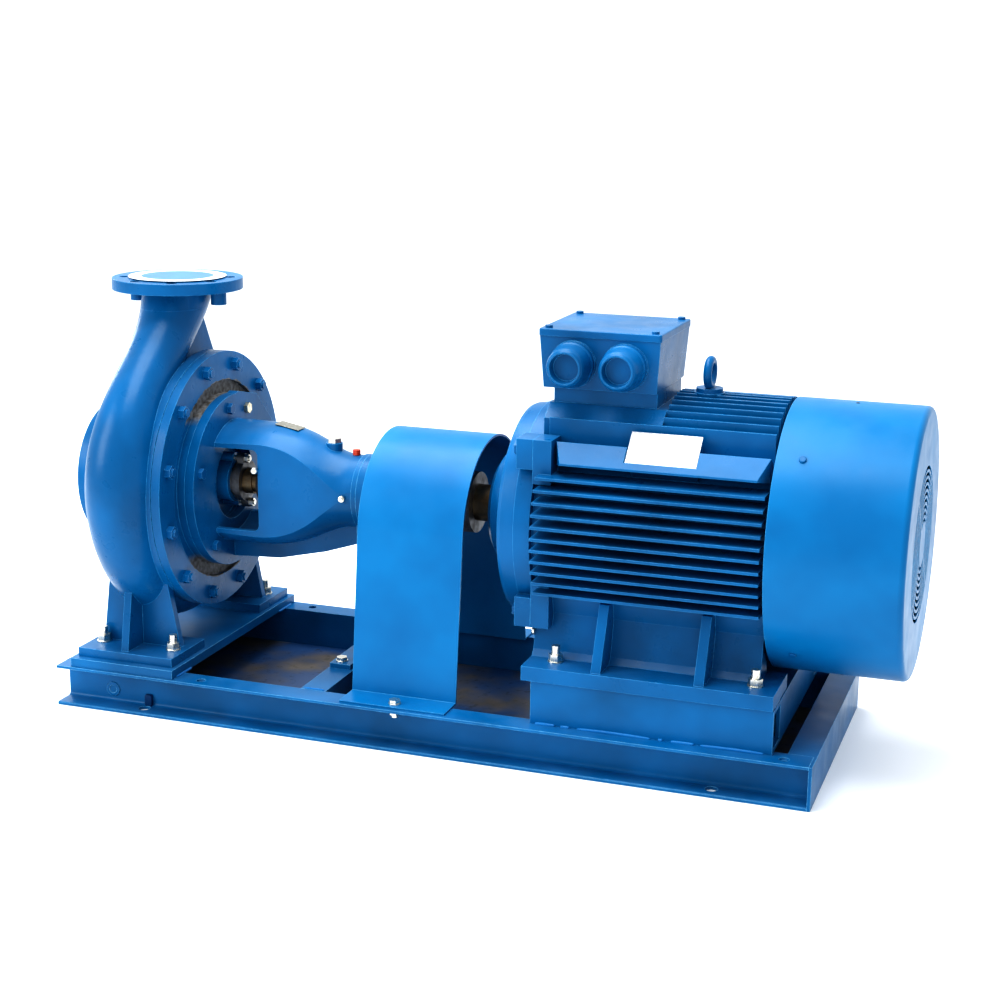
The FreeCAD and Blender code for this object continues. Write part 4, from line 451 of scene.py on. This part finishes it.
def round_hole(x, y, z_low, z_high, radius):
    """Upright rod for cutting: radius * (cos a, sin a) at two heights."""
    a = np.linspace(0, 2 * np.pi, 40, endpoint=False)
    ring = np.stack([x + radius * np.cos(a), y + radius * np.sin(a)], -1)
    return np.stack([np.column_stack([ring, np.full(40, z)]) for z in (z_low, z_high)])


outline = channel_outline()
print("channel outline of", len(outline), "points")

# %% [markdown]
# Both long rails come from the same outline. They stop one wall short of the motor end, where a plate
# crosses them. Foundation bolts go through the lower flanges and two spare holes through the upper
# ones, so a set of upright rods is subtracted by a Boolean modifier, which is then made real.

# %% Side rails with their holes
foundation_xs, foundation_y, foundation_radius = (-441.0, 441.0), 195.0, 9.0
spare_xs, spare_y, spare_radius = (-341.0, 539.0), 197.0, 7.0
side_grids = [carried(outline, (-base_half_length, side * web_y, 0),
                      (base_half_length - rail_wall, side * web_y, 0), (0, side, 0)) for side in (-1, 1)]
rails = closed_mesh("rolled_side_rails", side_grids, caps=True, sharp=crisp_angle)
holes = []
for side in (-1, 1):
    for x in foundation_xs:
        holes.append(round_hole(x, side * foundation_y, -5, 15, foundation_radius))
    for x in spare_xs:
        holes.append(round_hole(x, side * spare_y, 50, 70, spare_radius))
drill = bpy.data.objects.new("drill", closed_mesh("drill", holes, caps=True))
blank = bpy.data.objects.new("rail_blank", rails)
for temporary in (drill, blank):
    bpy.context.scene.collection.objects.link(temporary)
cut = blank.modifiers.new("drilled", "BOOLEAN")
cut.object, cut.operation, cut.solver = drill, "DIFFERENCE", "EXACT"
drilled = bpy.data.meshes.new_from_object(blank.evaluated_get(bpy.context.evaluated_depsgraph_get()))
drilled.name = "rolled_side_rails"
for temporary in (drill, blank):
    bpy.data.objects.remove(temporary)
drilled.set_sharp_from_angle(angle=math.radians(crisp_angle))
side_rails = new_piece(drilled, "enamel_on_rolled_steel")
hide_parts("side_rails")

# %% [markdown]
# The end rails run across between the long ones. At the motor end a flat wing on each side closes the
# long rail. The wings start a twentieth of a millimetre away from the rail's end: points at exactly the
# same place would be merged, and the shared edge would then shade black.

# %% End rails, and the wings that close the side rails at the motor end
seam = 0.05
wing = np.array([(0, 0), (rail_wall, 0), (rail_wall, rail_height), (0, rail_height)])
end_grids = [carried(outline, (sx * base_half_length, -web_y, 0), (sx * base_half_length, web_y, 0),
                     (-sx, 0, 0)) for sx in (-1, 1)]
for side in (-1, 1):
    end_grids.append(carried(wing, (base_half_length, side * (web_y + seam), 0),
                             (base_half_length, side * base_half_width, 0), (-1, 0, 0)))
end_rails = new_piece(closed_mesh("rolled_end_rails", end_grids, caps=True, sharp=crisp_angle),
                      "enamel_on_rolled_steel")
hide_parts("end_rails")

# %% [markdown]
# ## Small turned parts
# Screws, the flush drain plug and a rubber bung are all bodies of revolution. Each is a profile of radius
# and height turned about its axis, so one function serves them all. A slot or socket would be lost at
# this size, so the heads have a dimple instead.

# %% Turned parts
def turned(profile, base, axis, columns=40, sides=0):
    """Surface of revolution: point = base + h * axis + r * (cos a * across + sin a * around).

    With n sides, r shrinks between the corners, as on a hexagon, to
    r * cos(pi / n) / cos(a mod (2 pi / n) - pi / n)."""
    base, axis = np.array(base, float), np.array(axis, float) / np.linalg.norm(axis)
    across = np.cross(axis, [0, 0, 1.0]) if abs(axis[2]) < 0.9 else np.array([1.0, 0, 0])
    across = across / np.linalg.norm(across)
    around = np.cross(axis, across)
    r, h = np.array(profile, float).T
    a = np.linspace(0, 2 * np.pi, columns, endpoint=False)
    shape = np.ones_like(a)
    if sides:
        step = 2 * np.pi / sides
        shape = np.cos(step / 2) / np.cos(a % step - step / 2)
    ring = (np.cos(a) * shape)[:, None] * across + (np.sin(a) * shape)[:, None] * around
    return base + h[:, None, None] * axis + r[:, None, None] * ring[None]


def screw_head(radius, height):
    """Profile of a domed head with a dimple: foot, rounded rim, crown, dimple."""
    return [(0, 0), (radius, 0), (radius, 0.55 * height), (0.93 * radius, 0.8 * height),
            (0.75 * radius, height), (0.34 * radius, height * 1.04), (0.30 * radius, 0.65 * height),
            (0, 0.6 * height)]


window_screw, motor_leg_screw = (-311.5, -66.0, 360.0), (163.0, -132.0, 181.0)
screws = [turned(screw_head(6.0, 5.0), window_screw, (0.35, -1, 0.1), sides=6),
          turned(screw_head(6.0, 4.0), motor_leg_screw, (-1, 0, 0))]
new_piece(closed_mesh("small_screws", screws, sharp=35), "zinc_plated_steel")
cowl_top = (582.5, 0, 518.4)
bung = [turned([(0, 0), (3.2, 0), (3.0, 0.7), (1.6, 1.2), (0, 1.3)], cowl_top, (0, 0, 1))]
new_piece(closed_mesh("cowl_bung", bung), "nitrile_rubber")
front_face = -web_y - rail_wall
plug_x, plug_z, plug_sunk = -503.0, 23.0, 0.2
plug = [turned([(0, 0), (11.5, 0), (11.5, 1.0), (10.6, 1.8), (6.5, 1.9), (6.2, 0.9), (0, 0.8)],
               (plug_x, front_face + plug_sunk, plug_z), (0, -1, 0))]
drain = new_piece(closed_mesh("flush_drain_plug", plug, sharp=35), "enamel_on_rolled_steel")
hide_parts("drain_plug")

# %% [markdown]
# A little to the right of the plug the rail has a dark notch in shade. It is shown as painted shade: a thin
# slab in navy paint with an outline between a rectangle and an ellipse, where a high power gives nearly
# square corners.

# %% Drain notch at the front rail's foot
def rounded_slab(x, y, z, half_x, half_z, depth, power=6):
    """Slab standing on the plane y, with its rim rounded over.

    Its outline is |u / half_x| ** power + |w / half_z| ** power = 1."""
    a = np.linspace(0, 2 * np.pi, 48, endpoint=False)
    u = np.sign(np.cos(a)) * np.abs(np.cos(a)) ** (2 / power) * half_x
    w = np.sign(np.sin(a)) * np.abs(np.sin(a)) ** (2 / power) * half_z
    share = np.array([0.0, 1.0, 1.0, 0.93, 0.0])[:, None]
    out = np.array([0.0, 0.0, 0.7, 1.0, 1.0])[:, None] * depth
    return np.stack([x + share * u, y - out + 0 * share * u, z + share * w], -1)


notch_x, notch_z, notch_sunk = -440.0, 13.0, 0.3
notch = [rounded_slab(notch_x, front_face + notch_sunk, notch_z, half_x=6.0, half_z=9.5, depth=6.0)]
new_piece(closed_mesh("drain_notch", notch, sharp=crisp_angle), "enamel_in_shadow")

# %% [markdown]
# ## Weld beads
# The risers, the pump plate and the cross member are welded to the rails by hand, a stretch at a time,
# and each stretch catches the light as a lumpy bright line. A bead is a half-round rope whose radius
# swells once per dip of the wire. A curve with a bevel could not ripple, so its radius is written here
# as a function of the distance along it.

# %% Weld beads along the frame
def bead(start, end, radius, ripple=4.0):
    """Rope from start to end, where t runs from 0 to 1 and s is the distance from the start.

    Its radius is r * (1 - 0.16 * |cos(pi * s / ripple)|) times the fourth root of 1 - (2t - 1)^4, which
    draws both ends in."""
    start, end = np.array(start, float), np.array(end, float)
    length = np.linalg.norm(end - start)
    t = np.linspace(0, 1, max(12, int(length / 1.6)))[:, None]
    v = np.linspace(0, 2 * np.pi, 10, endpoint=False)[None, :]
    along = (end - start) / length
    side = np.cross(along, [0, 0, 1.0]) if abs(along[2]) < 0.9 else np.array([1.0, 0, 0])
    side = side / np.linalg.norm(side)
    rise = np.cross(side, along)
    swell = 1 - 0.16 * np.abs(np.cos(np.pi * t * length / ripple + start[0]))
    r = radius * swell * np.clip(1 - (2 * t - 1) ** 4, 0, 1) ** 0.25
    wander = 0.1 * radius * np.sin(t * length / 17 + start[1])
    centre = start + along * t * length
    return centre[:, None, :] + (r * np.cos(v))[..., None] * side + (r * np.sin(v) + wander)[..., None] * rise


beads = []
riser_low, riser_high = (np.array(v) * 1000 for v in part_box("motor_risers"))
# Shares of a riser's length: where each stretch of bead starts and ends.
stretches = ((0.02, 0.11), (0.13, 0.17), (0.20, 0.51), (0.54, 0.56), (0.59, 0.69), (0.71, 0.97))
for side in (-1, 1):
    y = riser_high[1] if side > 0 else riser_low[1]
    for first, last in stretches:
        x0, x1 = (riser_low[0] + share * (riser_high[0] - riser_low[0]) for share in (first, last))
        beads.append(bead((x0, y, riser_low[2] + 0.6), (x1, y, riser_low[2] + 0.6), 3.0))
plate_low, plate_high = (np.array(v) * 1000 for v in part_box("pump_plate"))
plate_inset, plate_half_bead = 37.0, 24
for side in (-1, 1):
    y = plate_high[1] - plate_inset if side > 0 else plate_low[1] + plate_inset
    for x in (plate_low[0], plate_high[0]):
        beads.append(bead((x, y - plate_half_bead, plate_low[2] + 0.4),
                          (x, y + plate_half_bead, plate_low[2] + 0.4), 2.6))
cross_low, cross_high = (np.array(v) * 1000 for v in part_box("cross_member"))
cross_bead_y = 171.0
for side in (-1, 1):
    beads.append(bead((cross_low[0] + 3, side * cross_bead_y, cross_high[2] - 0.2),
                      (cross_high[0] - 3, side * cross_bead_y, cross_high[2] - 0.2), 2.2))
new_piece(closed_mesh("weld_beads", beads), "enamel_on_weld")

# %% [markdown]
# ## Transport cover on the discharge
# The open flange is closed with a round vinyl sticker so that nothing falls in: a white ring round a
# blue field, left plain here. It is a disc with a soft rim, and its two colours come from the distance
# to its middle, so no picture is needed.

# %% Sticker on the discharge flange
sticker_radius, field_end, ring_start = 75.0, 0.0550, 0.0556
vinyl, place = blank_material("printed_vinyl_sticker")
centred = add(vinyl, "Mapping", {"Location": (-volute_x / 1000, 0, 0), "Scale": (1, 1, 0)}, {"Vector": place})
away = add(vinyl, "VectorMath", {"operation": "LENGTH"}, {0: centred})
ring = add(vinyl, "MapRange", {"From Min": field_end, "From Max": ring_start}, {"Value": away})
fade = add(vinyl, "TexNoise", {"Scale": 1000 / 40}, {"Vector": place})
fade_share = add(vinyl, "MapRange", {"From Min": 0.3, "From Max": 0.7}, {"Value": fade})
field = add(vinyl, "Mix", {"data_type": "RGBA", 6: linear("06609E"), 7: linear("0A6CAC")}, {0: fade_share})
tint = add(vinyl, "Mix", {"data_type": "RGBA", 7: linear("D2D8DC")}, {0: ring, 6: field})
bubbles = add(vinyl, "TexNoise", {"Scale": 1000 / 26, "Detail": 2.0}, {"Vector": place})
relief = add(vinyl, "Bump", {"Distance": 0.35 / 1000}, {"Height": bubbles})
shader = add(vinyl, "BsdfPrincipled", {"Roughness": 0.28, "IOR": 1.53},
             {"Base Color": tint, "Normal": relief})
add(vinyl, "OutputMaterial", None, {"Surface": shader})
materials["printed_vinyl_sticker"] = vinyl
casing_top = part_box("volute_casing")[1][2] * 1000
thickness, sag, lift = 0.3, 0.12, 0.02
face = [(sticker_radius * s, thickness - sag * (1 - s ** 2)) for s in np.linspace(0, 1, 14)]
cover = [turned([(0, lift), (sticker_radius, lift)] + face[::-1], (volute_x, 0, casing_top), (0, 0, 1), 96)]
new_piece(closed_mesh("discharge_sticker", cover), "printed_vinyl_sticker")

# %% [markdown]
# ## Floor, light and camera
# A plain pale floor keeps the eye on the part. It gives off a little light of its own, so that it is as
# even as the white ground of the photograph, and it isn't part of the object.

# %% Floor
paper, place = blank_material("pale_studio_floor")
mottle = add(paper, "TexNoise", {"Scale": 1000 / 600}, {"Vector": place})
tint = add(paper, "Mix", {"data_type": "RGBA", 6: linear("E9EBED"), 7: linear("EFF0F1")}, {0: mottle})
shader = add(paper, "BsdfPrincipled", {"Roughness": 0.9, "Emission Color": linear("FFFFFF"),
                                       "Emission Strength": 0.14}, {"Base Color": tint})
add(paper, "OutputMaterial", None, {"Surface": shader})
floor_mesh = bpy.data.meshes.new("studio_floor")
half, drop = 9.0, -0.0005
floor_mesh.from_pydata([(-half, -half, drop), (half, -half, drop), (half, half, drop), (-half, half, drop)],
                       [], [(0, 1, 2, 3)])
floor_mesh.materials.append(paper)
floor = bpy.data.objects.new("studio_floor", floor_mesh)
bpy.context.scene.collection.objects.link(floor)
print("floor", 2 * half, "m across")

# %% [markdown]
# One wide soft light overhead gives the long highlights on the scroll and the guard. A second one from
# the left fills the near side, a weaker one behind it draws the rims, and a pale room lights the rest.
# The view transform is the standard one, because the filmic one greys strong blues.

# %% Lights
def soft_light(name, spot, target, width, height, watts):
    """A rectangle of light of a given size in metres, turned to face its target."""
    data = bpy.data.lights.new(name, "AREA")
    data.shape, data.size, data.size_y, data.energy = "RECTANGLE", width, height, watts
    light = bpy.data.objects.new(name, data)
    direction = Vector(target) - Vector(spot)
    light.matrix_world = Matrix.Translation(spot) @ direction.to_track_quat("-Z", "Y").to_matrix().to_4x4()
    bpy.context.scene.collection.objects.link(light)


soft_light("overhead_softbox", (-0.3, -0.1, 2.4), (0.0, 0.0, 0.3), 2.4, 1.3, 66)
soft_light("left_softbox", (-2.3, -1.9, 1.6), (-0.2, 0.0, 0.3), 1.2, 1.8, 44)
soft_light("back_left_softbox", (-2.4, 1.6, 1.4), (-0.4, 0.0, 0.4), 0.9, 1.6, 24)
room = bpy.data.worlds.new("pale_room")
room.use_nodes = True
room.node_tree.nodes["Background"].inputs["Color"].default_value = linear("F6F9FC")
room.node_tree.nodes["Background"].inputs["Strength"].default_value = 0.9
bpy.context.scene.world = room
bpy.context.scene.view_settings.view_transform = "Standard"
bpy.context.scene.view_settings.look = "High Contrast"
print("three softboxes and a pale room")

# %% [markdown]
# The camera stands where the photograph was taken. Its place, direction and lens were worked out from
# the sizes of the set and where their ends lie in the photograph.

# %% Camera at the photograph's place
photo_place = (0.9209, -2.4841, 0.9877)
camera_data = bpy.data.cameras.new("photo_camera")
camera_data.sensor_width = 36.0
camera_data.lens = 65.3
camera_data.clip_start = 0.05
camera = bpy.data.objects.new("photo_camera", camera_data)
right = Vector((0.9441, 0.3292, 0.0107)).normalized()
forward = Vector((-0.3170, 0.9171, -0.2416))
forward = (forward - forward.dot(right) * right).normalized()
up = right.cross(forward)
view = Matrix((right, up, -forward)).transposed().to_4x4()
camera.matrix_world = Matrix.Translation(photo_place) @ view
bpy.context.scene.collection.objects.link(camera)
bpy.context.scene.camera = camera
print("camera", [round(v, 3) for v in camera.matrix_world.translation], "lens", camera_data.lens)
